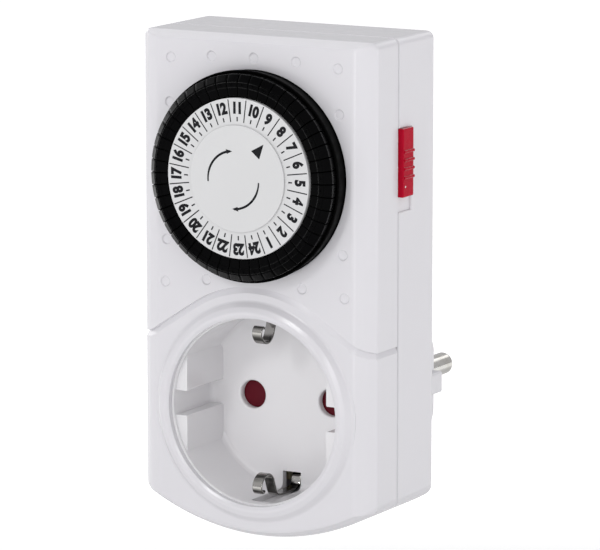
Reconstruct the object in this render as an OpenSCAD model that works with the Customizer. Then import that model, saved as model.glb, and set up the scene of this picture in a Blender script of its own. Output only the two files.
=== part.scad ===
// Plug-in mechanical 24-hour timer: a dial with a ring of half-hour tappets above an earthed socket,
// with an earthed plug at the back and a manual override slider on the right-hand side.
// Frame: the origin is the middle of the plug's contact face, between its two pins. +Y runs along
// the pins into the wall, +Z is up, and the dial and the socket face -Y.

/* [Housing] */
// Width of the housing
body_w = 55.4; // [55:0.1:56]
// Height of the top edge above the socket axis
body_top_z = 78.7; // [78:0.1:84]
// Height of the lowest point of the curved bottom edge
body_bottom_z = -26.9; // [-28:0.1:-26.6]
// Rise of the bottom curve from its middle to the side walls
bottom_rise = 7.9; // [7:0.1:9]
// Front face plane
face_y = -49; // [-49.5:0.1:-49]
// Plane where the two halves of the housing meet
parting_y = -37.4; // [-37.5:0.1:-37.3]
// Back face plane
back_y = -21; // [-21.1:0.1:-20.9]
// Width of the sloping bands along the sides of the front face
edge_in = 4.3; // [3:0.1:4.5]
// Width of the narrow bands along its top and bottom
edge_top = 1.4; // [1:0.1:2]
// How far back the bands reach
edge_back = 2.75; // [2:0.05:3]
// Rounding of the back edges
back_edge_r = 1.5; // [1:0.5:3]
// Rounding of the two bottom corners of the outline
corner_r = 2.6; // [2:0.1:4]
// Rounding of the two top corners of the outline
top_corner_r = 1.6; // [1:0.1:3]

/* [Dial] */
// Height of the dial axis above the socket axis
dial_z = 50; // [50:0.1:51]
// Radius of the fixed centre disc
disc_r = 11.14; // [10.5:0.01:11.2]
// Outer radius of the printed hour ring
scale_r = 16.7; // [16.5:0.05:16.75]
// Outer radius of the black carrier ring
dial_r = 22.2; // [22:0.05:22.4]
// Front plane of the tappets
tappet_y = -55.4; // [-56:0.1:-55]
// Travel of a tappet when it is pressed in
tappet_travel = 1.8; // [1:0.1:1.8]

/* [Socket] */
// Radius of the well below the rim
well_r = 19.6; // [19.4:0.1:19.7]
// Outer radius of the raised rim
rim_r = 22.8; // [22.4:0.1:23.5]
// Front plane of the raised rim
rim_y = -50.5; // [-51:0.1:-50]
// Front surface of the well's floor
floor_y = -33; // [-33:0.1:-32.9]
// Half the distance between the two sides of the keyed blocks
key_x = 16.7; // [16.2:0.1:17]
// Radius of the two pin holes
pin_hole_r = 3; // [2.6:0.1:3]

/* [Plug] */
// Distance between the two pins
pin_pitch = 19; // [18.8:0.1:19.2]
// Radius of a pin
pin_r = 2.4; // [2:0.1:2.4]
// Length of a pin in front of the plug's face
pin_len = 19; // [17:0.5:19]
// Radius of the plug's round body
plug_r = 18.95; // [18.5:0.05:19]
// Half the distance between the plug's two flats
plug_flat_x = 16.5; // [16:0.1:17]

/* [Override slider] */
// Height of the slider's middle in the timer position
slider_z = 52.85; // [52.8:0.05:52.9]
// Height of the slider's outer face
slider_h = 14.3; // [14:0.1:14.5]
// How far the slider's flat face stands out of the side wall
slider_proud = 1.1; // [0.5:0.1:1.5]

/* [Hidden] */
$fn = 64;
eps = 0.02;
wall = 2;                       // side and back walls
face_t = 2.6;                   // front wall
part_gap = 0.3;                 // visible gap between the two halves
hours = 24;
tappets_per_hour = 2;
pitch = 360 / (hours * tappets_per_hour);
hour_5_angle = 0.5;             // direction of hour 5 from +X, counter-clockwise
hw = body_w / 2;
bottom_r = (hw * hw + bottom_rise * bottom_rise) / (2 * bottom_rise);
bottom_cz = body_bottom_z + bottom_r;
cavity_y = face_y + face_t;     // inner surface of the front wall
back_in_y = back_y - wall;      // inner surface of the back wall
rear_y = parting_y + part_gap;  // front edge of the rear half

// Screw posts that join the two halves: [x, z]
post_top = [hw - 4.8, body_top_z - 4.8];
post_low = [hw - 4.8, -15.5];
posts = [post_top, [-post_top[0], post_top[1]], post_low, [-post_low[0], post_low[1]]];
post_r = 3;

// Socket insert
insert_r = 21.5;
insert_y = -48.9;
floor_t = 1.6;
floor_back_y = floor_y + floor_t;
pin_x = pin_pitch / 2;
stub_r = 1.5;
earth_w = 1.1;                  // half width of the earth spring strips
earth_slot = 2.2;               // half width of the slots that they pass through
earth_t = 0.5;
earth_z = 18.3;                 // height of the straight legs of the strips

// Dial stack, front to back
disc_y = -56;
disc_back_y = -54.7;
scale_y = -55.5;
deck_y = -54.5;
ring_back_y = -46.5;
hub_r = 5;
dial_post_r = 2.5;
tappet_in_r = 17;
tappet_out_r = 21.55;
stem_in_r = 18.2;
stem_out_r = 20.6;
pressed_stem_y = -44.9;         // back of a stem that is pressed in
stem_back_y = pressed_stem_y - tappet_travel;
head_back_y = -49.4 - tappet_travel;
head_edge_y = -53.3;            // back of the chamfer around the heads
head_angle = 6.9;
stem_angle = 5.1;
window_angle = 5.7;

// Gear train: every gear has the same module and pressure angle
gear_m = 0.4;
gear_pa = 25;
backlash = 0.08;
dial_teeth = 60;
b_teeth = 48;
a_teeth = 40;
pinion_teeth = 12;
b_angle = 235;                  // directions from one axis to the next
a_angle = 115;
motor_angle = 50;
dial_gear_y = -46.2;
dial_gear_back_y = -44.4;
axle_r = 0.8;
dial_c = [0, dial_z];
b_c = dial_c + gear_m * (dial_teeth + pinion_teeth) / 2 * [cos(b_angle), sin(b_angle)];
a_c = b_c + gear_m * (b_teeth + pinion_teeth) / 2 * [cos(a_angle), sin(a_angle)];
motor_c = a_c + gear_m * (a_teeth + pinion_teeth) / 2 * [cos(motor_angle), sin(motor_angle)];

// Mechanism plate and motor
plate_y = -40.5;
plate_back_y = -39.3;
plate_posts = [[-19.5, 29], [19, 29], [-19.5, 66.5], [18.5, 66]];
plate_screw_r = 1;
can_r = 13;
can_back_y = -26.5;
sheet = 0.8;

// Switch
lever_x = [9.6, 13.8];
lever_pin = [-42.2, 72.5];      // [y, z] of the lever's pivot
lever_pin_x = [8.2, 15.2];
nose_angle = 53;                // direction of the gap between two stems where the nose rests
nose_r = [18.8, 20];
strip_x = [7.6, 11.6];          // live strip and contact blade
strip_t = 0.6;
blade_y = -36.4;
blade_z = [30, 57.2];
contact_z = 55.4;

WHITE = "whitesmoke";
BLACK = "#1c1c1c";
CRIMSON = "#c4203a";
MAROON = "#5a1c26";
NICKEL = "#cfc8b4";
BRASS = "#c8a24c";
COPPER = "#a8683a";
STEEL = "#b4b8bc";
AMBER = "#d8cfae";

function tappet_name(h) = str("tappet_hour_", h < 10 ? "0" : "", h);

// ---- Shared shapes -------------------------------------------------------------------------

function arc_pts(c, r, from, to, n) = [for (i = [0:n]) let(a = from + (to - from) * i / n)
    c + r * [cos(a), sin(a)]];

// Outline of the housing seen from the front, moved inwards by inset at the sides and by rim above
// and below
function housing_outline(inset, rim = undef) =
    let(e = is_undef(rim) ? inset : rim, w = hw - inset, rb = bottom_r - e, top = body_top_z - e,
        cr = max(corner_r - inset, 0.4), tr = max(top_corner_r - inset, 0.4),
        cz = bottom_cz - sqrt(pow(rb - cr, 2) - pow(w - cr, 2)),
        a = atan2(cz - bottom_cz, w - cr))
    concat(arc_pts([0, bottom_cz], rb, -180 - a, a, 20), arc_pts([w - cr, cz], cr, a, 0, 6),
           arc_pts([w - tr, top - tr], tr, 0, 90, 6), arc_pts([tr - w, top - tr], tr, 90, 180, 6),
           arc_pts([cr - w, cz], cr, 180, 180 - a, 6));

// Outline of a strip of thickness t that follows a path of right or blunt bends
function side(path, i) = let(n = len(path) - 1, a = path[max(i - 1, 0)], b = path[i],
        c = path[min(i + 1, n)], u = i > 0 ? unit(b - a) : unit(c - b), v = i < n ? unit(c - b) : u,
        m = unit(u + v)) [-m[1], m[0]] / max(m * v, 0.3);
function unit(v) = v / norm(v);
function ribbon(path, t) = let(n = len(path) - 1) concat(
    [for (i = [0:n]) path[i] + side(path, i) * t / 2],
    [for (i = [n:-1:0]) path[i] - side(path, i) * t / 2]);

// A flat shape drawn in x, z and run from y0 to y1
module along_y(y0, y1) translate([0, y1, 0]) rotate([90, 0, 0]) linear_extrude(y1 - y0) children();

// A flat shape drawn in y, z and run from x[0] to x[1]
module along_x(x) translate([x[0], 0, 0]) rotate([90, 0, 90]) linear_extrude(x[1] - x[0]) children();

// A box between two corners
module block(lo, hi) translate(lo) cube(hi - lo);

// A round bar along Y with its axis at c = [x, z]
module rod(c, r, y0, y1) translate([c[0], y1, c[1]]) rotate([90, 0, 0]) cylinder(r = r, h = y1 - y0);

// Points [radius, y] turned about a Y axis at c = [x, z], from a start angle through sweep
module turned(c, pts, start = 0, sweep = 360) translate([c[0], 0, c[1]]) rotate([90, 0, 0])
    rotate([0, 0, start]) rotate_extrude(angle = sweep) polygon([for (p = pts) [p[0], -p[1]]]);

module tube(c, r, y0, y1) turned(c, [[r[0], y0], [r[1], y0], [r[1], y1], [r[0], y1]]);

// Both of a pair mirrored about x = 0 or about z = 0
module left_right() { children(); mirror([1, 0, 0]) children(); }
module top_bottom() { children(); mirror([0, 0, 1]) children(); }

// ---- Gear teeth ----------------------------------------------------------------------------

function inv(a) = tan(a) - a * PI / 180;
function flank(r, base, p) = p + (inv(gear_pa) - inv(r > base ? acos(base / r) : 0)) * 180 / PI;
function tooth(n, at) =
    let(r = gear_m * n / 2, base = r * cos(gear_pa), tip = r + 0.95 * gear_m, root = r - 1.2 * gear_m,
        low = max(base, root), p = 90 / n - backlash / (2 * r) * 180 / PI,
        radii = concat([root], [for (i = [0:3]) low + (tip - low) * i / 3]))
    concat([for (q = radii) let(a = at - flank(max(q, low), base, p)) q * [cos(a), sin(a)]],
           [for (i = [len(radii) - 1:-1:0]) let(q = radii[i], a = at + flank(max(q, low), base, p))
               q * [cos(a), sin(a)]]);
function gear_pts(n) = [for (i = [0:n - 1]) each tooth(n, i * 360 / n)];

// Turn of a gear of n2 teeth that puts it in mesh with one of n1 teeth turned by t1, seen along dir
function meshed(n1, t1, n2, dir) = dir + 180 - (0.5 - (dir - t1) * n1 / 360) * 360 / n2;
b_pinion_turn = meshed(dial_teeth, 0, pinion_teeth, b_angle);
a_pinion_turn = meshed(b_teeth, 0, pinion_teeth, a_angle);
motor_pinion_turn = meshed(a_teeth, 0, pinion_teeth, motor_angle);

module gear(c, n, y0, y1, turn = 0)
    along_y(y0, y1) translate(c) rotate(turn) polygon(gear_pts(n));

// ---- Swept wires ---------------------------------------------------------------------------

function path_dir(p, i) = unit(p[min(i + 1, len(p) - 1)] - p[max(i - 1, 0)]);
function across(d) = unit(cross(d, abs(d[1]) < 0.9 ? [0, 1, 0] : [1, 0, 0]));
module sweep(path, r, sides = 8) {
    n = len(path);
    rings = [for (i = [0:n - 1]) let(d = path_dir(path, i), u = across(d), v = cross(d, u))
        each [for (k = [0:sides - 1]) path[i] + r * (u * cos(k * 360 / sides) + v * sin(k * 360 / sides))]];
    walls = [for (i = [0:n - 2]) each [for (k = [0:sides - 1]) let(m = (k + 1) % sides)
        [i * sides + k, (i + 1) * sides + k, (i + 1) * sides + m, i * sides + m]]];
    polyhedron(rings, concat([[for (k = [0:sides - 1]) k]], walls,
        [[for (k = [sides - 1:-1:0]) (n - 1) * sides + k]]), convexity = 4);
}

// Catmull-Rom curve through hand-set points, steps per span
function cr(a, b, c, d, t) = 0.5 * ((2 * b) + (c - a) * t + (2 * a - 5 * b + 4 * c - d) * t * t
    + (3 * b - a - 3 * c + d) * t * t * t);
function smooth(p, steps) = let(n = len(p) - 1) concat([for (i = [0:n - 1]) each [for (s = [0:steps - 1])
    cr(p[max(i - 1, 0)], p[i], p[i + 1], p[min(i + 2, n)], s / steps)]], [p[n]]);

// ---- Housing -------------------------------------------------------------------------------

groove_r = 25.7;                // radius of the shallow groove over the socket
groove_w = 0.75;                // half its width
groove_d = 0.8;
groove_side_z = 13.9;           // where the groove runs back along the side walls
groove_end = 57;                // direction where the curve turns into a straight run
dimple_r = 1.05;
dimple_d = 0.25;
// Dimples on the right half of the face: [x, z]
dimples = [[0, 74.2], [10, 74], [19.8, 73.2], [20.1, 63.8], [21, 34.8], [21.4, 25.8], [11.4, 27]];
rim_in_r = 20;
dial_hole_r = dial_r + 0.25;
recess_z = [42.35, slider_z + slider_h / 2 + 0.1];    // shallow recess for the slider
recess_y = -31.6;
recess_d = 0.5;
slot_y = [-35.2, -34.2];        // slot through the wall for the slider's stem
slot_z = [46, 57.7];

module cover_block() hull() {
    along_y(face_y + edge_back, parting_y) polygon(housing_outline(0));
    along_y(face_y + edge_back * 0.45, face_y + edge_back * 0.45 + eps)
        polygon(housing_outline(edge_in * 0.42, edge_top * 0.3));
    along_y(face_y, face_y + eps) polygon(housing_outline(edge_in, edge_top));
}

module face_groove() {
    start = groove_r * [cos(groove_end), sin(groove_end)];
    turned([0, 0], [[groove_r - groove_w, face_y - eps], [groove_r + groove_w, face_y - eps],
        [groove_r, face_y + groove_d]], groove_end, 180 - 2 * groove_end);
    left_right() {
        translate([start[0], 0, start[1]]) rotate([0, 90 - groove_end, 0])
            along_x([-0.13, (hw - start[0]) / sin(groove_end) + 1])
                polygon([[face_y - eps, -groove_w], [face_y - eps, groove_w], [face_y + groove_d - eps, 0]]);
        along_y(face_y, parting_y + eps) translate([hw, groove_side_z])
            polygon([[eps, -groove_w], [eps, groove_w], [-groove_d, 0]]);
    }
}

module face_dimples() left_right() for (c = dimples) rod(c, dimple_r, face_y - 1, face_y + dimple_d);

module front_cover() color(WHITE) difference() {
    union() {
        difference() {
            cover_block();
            along_y(cavity_y, parting_y + 1) polygon(housing_outline(wall));
        }
        turned([0, 0], [[rim_in_r - 1, insert_y], [rim_in_r - 1, rim_y + 0.6], [rim_in_r + 0.5, rim_y],
            [rim_r - 0.8, rim_y], [rim_r, rim_y + 0.8], [rim_r, cavity_y + 2], [insert_r + 0.1, cavity_y + 2],
            [insert_r + 0.1, insert_y]]);
        for (c = posts) rod(c, post_r, cavity_y - eps, parting_y);
    }
    rod(dial_c, dial_hole_r, face_y - 1, cavity_y + 1);
    rod([0, 0], rim_in_r, rim_y - 1, insert_y + eps);
    rod([0, 0], insert_r + 0.1, insert_y, cavity_y + 3);
    for (c = posts) rod(c, 1.12, face_y + 3.6, parting_y + 1);
    face_groove();
    face_dimples();
}

module rear_block() hull() {
    along_y(rear_y, back_y - back_edge_r) polygon(housing_outline(0));
    for (a = [18:18:90]) {
        y = back_y - back_edge_r * (1 - sin(a));
        along_y(y - eps, y) polygon(housing_outline(back_edge_r * (1 - cos(a))));
    }
}

plug_chamfer = 1;
plug_face_t = 2.5;
plug_hollow_r = 14.8;
plug_rib = [19, 2.3];           // reach and half height of the side ribs
holder_r = 18.9;
cradle_r = [19.05, 20.2];

spigot_r = 16.4;                // the plug body's spigot, which fills the hole in the back wall
earth_slot_z = 17.2;            // where the slots for the earth contacts start

module plug_body() color(WHITE) difference() {
    union() {
        intersection() {
            turned([0, 0], [[0, back_y], [plug_r, back_y], [plug_r, -plug_chamfer],
                [plug_r - plug_chamfer, 0], [0, 0]]);
            block([-plug_flat_x, back_y, -plug_r - 1], [plug_flat_x, 0, plug_r + 1]);
        }
        block([-plug_rib[0], back_y, -plug_rib[1]], [plug_rib[0], -plug_chamfer, plug_rib[1]]);
        rod([0, 0], spigot_r, back_in_y, back_y + eps);
    }
    rod([0, 0], plug_hollow_r, back_in_y - 1, -plug_face_t);
    left_right() rod([pin_x, 0], pin_r + 0.03, -plug_face_t - 1, 1);
    top_bottom() block([-earth_slot, back_y - 1, earth_slot_z], [earth_slot, -3, plug_r + 1]);
}

// Tongue that steps inside the front half and closes the gap between the halves
module tongue() difference() {
    union() {
        along_y(parting_y - 1.6, rear_y + eps) difference() {
            polygon(housing_outline(wall + 0.08));
            polygon(housing_outline(wall + 1.1));
        }
        along_y(rear_y, rear_y + 1) difference() {
            polygon(housing_outline(wall - 0.5));
            polygon(housing_outline(wall + 1.1));
        }
    }
    for (c = posts) rod(c, post_r + 0.15, parting_y - 2, parting_y);
    block([hw - 5, parting_y - 2, 39.7], [hw, rear_y + 2, 63]);
}

module rear_cover() color(WHITE) difference() {
    union() {
        difference() {
            rear_block();
            along_y(rear_y - 1, back_in_y) polygon(housing_outline(wall));
        }
        tongue();
        for (c = posts) rod(c, post_r + 0.2, rear_y, back_in_y + eps);
        for (c = plate_posts) rod(c, 1.8, plate_back_y, back_in_y + eps);
        turned([0, 0], [[cradle_r[0], -27], [cradle_r[1], -27], [cradle_r[1], back_in_y + eps],
            [cradle_r[0], back_in_y + eps]], 190, 160);
        block([19.2, -33, 38.4], [21, back_in_y + eps, 41]);
    }
    rod([0, 0], spigot_r, back_in_y - 1, back_y + 1);
    top_bottom() block([-earth_slot, back_in_y - 1, earth_slot_z], [earth_slot, back_y + 1, holder_r]);
    for (c = posts) {
        rod(c, 1.5, rear_y - 2, back_y + 1);
        rod(c, 2.8, back_y - 4, back_y + 1);
    }
    for (c = plate_posts) rod(c, plate_screw_r + 0.02, plate_back_y - 1, plate_back_y + 8);
    block([hw - recess_d, rear_y - 1, recess_z[0]], [hw + 1, recess_y, recess_z[1]]);
    block([hw - wall - 0.5, slot_y[0], slot_z[0]], [hw, slot_y[1], slot_z[1]]);
    block([19.75, -33.5, 38.8], [20.45, -26, 41.5]);
}

screw_y = [back_y - 3.9, back_y - 2];    // the screws' heads

module housing_screws() color(STEEL) for (c = posts) {
    rod(c, 1.1, -45, screw_y[0]);
    difference() {
        rod(c, 2.5, screw_y[0], screw_y[1]);
        along_y(screw_y[1] - 1, screw_y[1] + 1) translate(c) {
            square([3, 0.7], center = true);
            square([0.7, 3], center = true);
        }
    }
}

module rating_label() color("gainsboro") block([-18, back_y, 32], [18, back_y + 0.15, 60]);

// ---- Socket --------------------------------------------------------------------------------

module socket_insert() color(WHITE) difference() {
    union() {
        tube([0, 0], [well_r, insert_r], insert_y, floor_back_y);
        rod([0, 0], well_r + eps, floor_y, floor_back_y);
        intersection() {
            rod([0, 0], well_r + eps, -48.1, floor_y + eps);
            left_right() block([key_x, -49, -12], [insert_r, floor_y + 1, 12]);
        }
        rod([0, 0], stub_r, floor_back_y - eps, -28.8);
    }
    left_right() {
        rod([pin_x, 0], pin_hole_r, floor_y - 1, floor_back_y + 1);
        block([key_x - 1, -49.5, -2.65], [19.2, floor_y, 2.65]);
    }
    top_bottom() {
        block([-earth_slot, floor_y - 1, 15.75], [earth_slot, floor_back_y + 1, 20.7]);
        block([-earth_slot, -46.6, 18], [earth_slot, floor_y + eps, 20.7]);
    }
}

shutter_y = [-31.2, -30];
wing_half = 21;                 // half the angle that each wing covers

module socket_shutter() color(MAROON) difference() {
    union() {
        rod([0, 0], 5.5, shutter_y[0], shutter_y[1]);
        for (a = [0, 180]) turned([0, 0], [[4, shutter_y[0]], [13.7, shutter_y[0]], [13.7, shutter_y[1]],
            [4, shutter_y[1]]], a - wing_half, 2 * wing_half);
    }
    rod([0, 0], stub_r + 0.05, shutter_y[0] - 1, shutter_y[1] + 1);
}

spring_turns = 2;
spring_r = 2.15;                // inner turn of the flat spiral, and how far each turn moves outwards
spring_pitch = 0.6;
spring_y = -29.4;
module shutter_spring() color(STEEL)
    sweep([for (i = [0:12 * spring_turns]) let(r = spring_r + spring_pitch * i / 12)
        [r * cos(i * 30), spring_y, r * sin(i * 30)]], 0.2);

module contact_holder() color(AMBER) difference() {
    rod([0, 0], holder_r, -28.6, -24.9);
    left_right() rod([pin_x, 0], 3.45, -29, -21);
    top_bottom() block([-3, -29, 16.8], [3, -21, 20]);
    block([12.4, -26.2, -3], [17.4, -21, 20]);
}

sleeve_r = [2.5, 3.4];
sleeve_y = [-29, -13];

module socket_contacts() color(BRASS) left_right() difference() {
    rod([pin_x, 0], sleeve_r[1], sleeve_y[0], sleeve_y[1]);
    rod([pin_x, 0], sleeve_r[0], sleeve_y[0] - 1, sleeve_y[1] - 0.8);
    block([pin_x - 0.3, sleeve_y[0] - 1, -4], [pin_x + 0.3, -18, 4]);
}

strap_y = [-24.6, -23.8];        // the bar that joins the two clips behind the contact holder

// Middle line of the upper clip: [y, z]. It bends behind the floor, runs forward along the wall and
// curls towards the axis.
clip_path = [[strap_y[0], earth_z], [-28.2, earth_z], [-29, 17], [-30.1, 16.6], [-30.9, 17.3], [-31.2, 18.7],
    [-32.6, 19.3], [-35, 19.3], [-39.4, 19.3], [-41.1, 18.6], [-42, 16.8], [-42.8, 15.1], [-44.3, 14.1],
    [-46.1, 14.3], [-47.4, 15.5], [-47.6, 16.8], [-46.9, 17.6], [-46.1, 17.3]];

// One strap: a clip at the top and at the bottom of the well, joined behind the contact holder
module earth_clips() color(NICKEL) {
    top_bottom() along_x([-earth_w, earth_w]) polygon(ribbon(clip_path, earth_t));
    block([-earth_w, strap_y[0] - eps, -earth_z - earth_t / 2],
        [earth_w, strap_y[1], earth_z + earth_t / 2]);
}

module plug_earth_contacts() color(NICKEL) top_bottom()
    along_x([-earth_w, earth_w]) polygon(ribbon([[strap_y[1], 17.7], [-14, 17.7], [-11, 18.2], [-7, 18.2],
        [-4, 17.7], [-3.3, 17.7]], earth_t));

module plug_pins() color(NICKEL) left_right() turned([pin_x, 0], [[0, -6], [pin_r, -6], [pin_r, -5],
    [3.3, -5], [3.3, -plug_face_t], [pin_r, -plug_face_t], [pin_r, pin_len - 1.2],
    [pin_r - 0.35, pin_len - 0.45], [pin_r - 1.2, pin_len], [0, pin_len]]);

// ---- Busbars and leads ---------------------------------------------------------------------

module live_busbar() color(BRASS) along_x(strip_x) polygon(ribbon([[-6.3, -2.2], [-6.3, 4.9],
    [-23.6, 4.9], [-23.6, 28.3], [blade_y, 28.3], [blade_y, 29.8]], strip_t));

load_y = -32.75;
load_x = [12.95, 17];

module load_busbar() color(BRASS) {
    along_x(load_x) polygon(ribbon([[load_y, 57.5], [load_y, 24], [-25.4, 24], [-25.4, -2]], strip_t));
    block([strip_x[0] + 0.2, load_y - strip_t / 2, 53.5], [load_x[0] + eps, load_y + strip_t / 2, 57.5]);
    rod([9.6, contact_z], 1.2, load_y - strip_t / 2 - 0.7, load_y);
}

module neutral_busbar() color(BRASS) along_x([-11.5, -7.5]) polygon(ribbon([[-6.3, 2.2], [-6.3, -2.6],
    [-12.7, -2.6], [-12.7, 2.2]], strip_t));

live_lead = [[0.6, -30, 44.6], [2, -30, 40], [5, -30, 34], [8, -30, 30], [9.4, -30, 29.15]];
neutral_lead = [[-11.4, -30, 43.6], [-12, -29, 36], [-12.4, -25.6, 28], [-12.2, -24, 21], [-11, -24, 12],
    [-10.2, -23.4, 9], [-9.7, -19.5, 6.6], [-9.5, -16, 4.6], [-9.5, -13, 4.1], [-9.5, -11.6, 2.6]];

module motor_leads() {
    color("#7a4a2a") sweep(smooth(live_lead, 4), 0.5);
    color("#3a62a8") sweep(smooth(neutral_lead, 3), 0.5);
}

// ---- Clockwork -----------------------------------------------------------------------------

module mechanism_plate() color(AMBER) {
    difference() {
        union() {
            block([-22, plate_y, 25.6], [21.2, plate_back_y, 70]);
            block([7.8, plate_y, 69], [15.6, plate_back_y, 74.8]);
            rod([10, 38], 1, -46.2, plate_y + eps);
        }
        for (c = [b_c, a_c]) rod(c, axle_r + 0.02, plate_y - 1, plate_back_y + 1);
        rod(dial_c, 1.52, plate_y - 1, plate_back_y + 1);
        rod(motor_c, 1.2, plate_y - 1, plate_back_y + 1);
        for (c = plate_posts) rod(c, plate_screw_r + 0.1, plate_y - 1, plate_back_y + 1);
        block([9, plate_y - 1, 49], [16.8, plate_back_y + 1, 54.8]);
    }
    for (x = [lever_pin_x[0], lever_pin_x[1] - 1.2]) difference() {
        block([x, -43.6, 70.8], [x + 1.2, plate_y + eps, 74.2]);
        pivot_bar(axle_r + 0.02);
    }
}

module pivot_bar(r) translate([lever_pin_x[0], lever_pin[0], lever_pin[1]]) rotate([0, 90, 0])
    cylinder(r = r, h = lever_pin_x[1] - lever_pin_x[0]);

module pivot_pins() color(STEEL) {
    rod(b_c, axle_r, -46.4, plate_back_y);
    rod(a_c, axle_r, -44.2, plate_back_y);
    pivot_bar(axle_r);
}

module plate_screws() color(STEEL) for (c = plate_posts) {
    rod(c, plate_screw_r, plate_y, plate_back_y + 7);
    rod(c, 2, plate_y - 1.1, plate_y);
}

module centre_post() color(AMBER) difference() {
    turned(dial_c, [[0, disc_back_y], [dial_post_r, disc_back_y], [dial_post_r, -44.2], [3.6, -44.2],
        [3.6, plate_y], [1.5, plate_y], [1.5, plate_back_y], [0, plate_back_y]]);
    rod(dial_c, 1.22, disc_back_y - 1, -50.8);
}

module motor_can() color(STEEL) turned(motor_c, [[1, plate_back_y], [can_r, plate_back_y],
    [can_r, can_back_y], [1, can_back_y], [1, can_back_y - sheet], [can_r - sheet, can_back_y - sheet],
    [can_r - sheet, plate_back_y + sheet], [1, plate_back_y + sheet]]);

module motor_coil() color(COPPER) turned(motor_c, [[6.4, -38.2], [12, -38.2], [12, -37.2], [11, -37.2],
    [11, -28.6], [12, -28.6], [12, -27.6], [6.4, -27.6]]);

module motor_rotor() color("#3c3c40") {
    rod(motor_c, 4, -36.5, -30);
    rod(motor_c, 0.75, -42.4, can_back_y - 0.1);
}

module motor_pinion() color(BRASS) difference() {
    gear(motor_c, pinion_teeth, -42.2, -40.8, motor_pinion_turn);
    rod(motor_c, 0.77, -43, -40);
}

module reduction_gear_a() color(WHITE) difference() {
    union() {
        gear(a_c, a_teeth, -42, -41);
        gear(a_c, pinion_teeth, -44, -42 + eps, a_pinion_turn);
    }
    rod(a_c, axle_r + 0.05, -45, -40);
}

module reduction_gear_b() color(AMBER) difference() {
    union() {
        gear(b_c, b_teeth, -43.8, -42.8);
        gear(b_c, pinion_teeth, -46.2, -43.8 + eps, b_pinion_turn);
    }
    rod(b_c, axle_r + 0.05, -47, -42);
}

module dial_gear() color(WHITE) difference() {
    gear(dial_c, dial_teeth, dial_gear_y, dial_gear_back_y);
    rod(dial_c, hub_r + 0.02, -47, -44);
}

click_path = [[9.6, 39.5], [6.2, 37.7], [3, 37], [1, 37.05]];
module dial_click_spring() color(STEEL) {
    difference() {
        union() {
            along_y(-46, -44.6) polygon(ribbon(click_path, 0.25));
            tube([10, 38], [1.03, 1.6], -46, -44.6);
        }
        rod([10, 38], 1.03, -47, -44);
    }
}

// ---- Dial ----------------------------------------------------------------------------------

module dial_ring() color(BLACK) difference() {
    turned(dial_c, [[dial_post_r + 0.05, deck_y], [16.6, deck_y], [16.8, deck_y + 0.2], [16.8, -48.3],
        [21.65, -48.3], [21.65, -52.6], [21.8, -52.85], [dial_r - 0.15, -52.85], [dial_r, -52.7],
        [dial_r, ring_back_y], [15.9, ring_back_y], [15.9, -53.3], [hub_r, -53.3],
        [hub_r, dial_gear_back_y], [dial_post_r + 0.05, dial_gear_back_y]]);
    for (i = [0:hours * tappets_per_hour - 1])
        turned(dial_c, [[stem_in_r - 0.1, -49], [stem_out_r + 0.1, -49], [stem_out_r + 0.1, -46],
            [stem_in_r - 0.1, -46]], tappet_angle(i) - window_angle / 2, window_angle);
}

module scale_ring() color(WHITE) turned(dial_c, [[10.6, deck_y], [10.6, scale_y + 0.1],
    [10.7, scale_y], [scale_r - 0.1, scale_y], [scale_r, scale_y + 0.1], [scale_r, deck_y]]);

module centre_disc() color(WHITE) turned(dial_c, [[0, disc_y], [disc_r - 0.3, disc_y],
    [disc_r, disc_y + 0.3], [disc_r, scale_y - 0.1], [10.4, scale_y - 0.1], [10.4, disc_back_y],
    [1.2, disc_back_y], [1.2, -51], [0, -51]]);

// Direction of tappet i, counted counter-clockwise from the first half of hour 1
function tappet_angle(i) = hour_5_angle + 15 * (1 - 5) + (i - 0.5) * pitch;

module tappet(i) {
    a = tappet_angle(i);
    turned(dial_c, [[tappet_in_r, tappet_y], [20.3, tappet_y], [20.6, tappet_y + 0.15],
        [tappet_out_r - 0.15, head_edge_y], [tappet_out_r, head_edge_y + 0.4],
        [tappet_out_r, head_back_y], [tappet_in_r, head_back_y]], a - head_angle / 2, head_angle);
    turned(dial_c, [[stem_in_r, head_back_y - eps], [stem_out_r, head_back_y - eps],
        [stem_out_r, stem_back_y], [stem_in_r, stem_back_y]], a - stem_angle / 2, stem_angle);
}

module tappet_hour(h) color(BLACK) for (k = [0:tappets_per_hour - 1])
    tappet(tappets_per_hour * (h - 1) + k);

// ---- Switch and override -------------------------------------------------------------------

module switch_lever() color("#d9d2c0") {
    difference() {
        union() {
            translate([lever_x[0], lever_pin[0], lever_pin[1]]) rotate([0, 90, 0])
                cylinder(r = 1.6, h = lever_x[1] - lever_x[0]);
            block([lever_x[0], -43.2, 51.2], [lever_x[1], -42, lever_pin[1] - 0.5]);
        }
        pivot_bar(axle_r + 0.05);
    }
    translate([0, 0, dial_z]) rotate([0, -nose_angle, 0]) along_x(nose_r) polygon([[-45.5, -0.25],
        [-45.5, 0.25], [-44.8, 0.32], [-43.1, 1.2], [-43.1, -1.2], [-44.8, -0.32]]);
    block([lever_x[0] + 0.2, -42 - eps, 51.2], [11.4, -36.8, 52.8]);
    block([11.4 - eps, -37.9, 51.2], [16.2, -36.8, 52]);
}

module moving_contact() color(BRASS) {
    block([strip_x[0], blade_y - 0.2, blade_z[0]], [strip_x[1], blade_y + 0.2, blade_z[1]]);
    rod([9.6, contact_z], 1.2, blade_y, blade_y + 1);
}

slider_y = [parting_y + 0.12, -32.7];
slider_face_x = hw + slider_proud;
flange_x = [hw - wall - 1.5, hw - wall - 0.1];
ridge_z = 52.5;                 // middle of the four ridges
ridge_pitch = 1.8;
hook_z = [55.2, 57.6];

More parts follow.
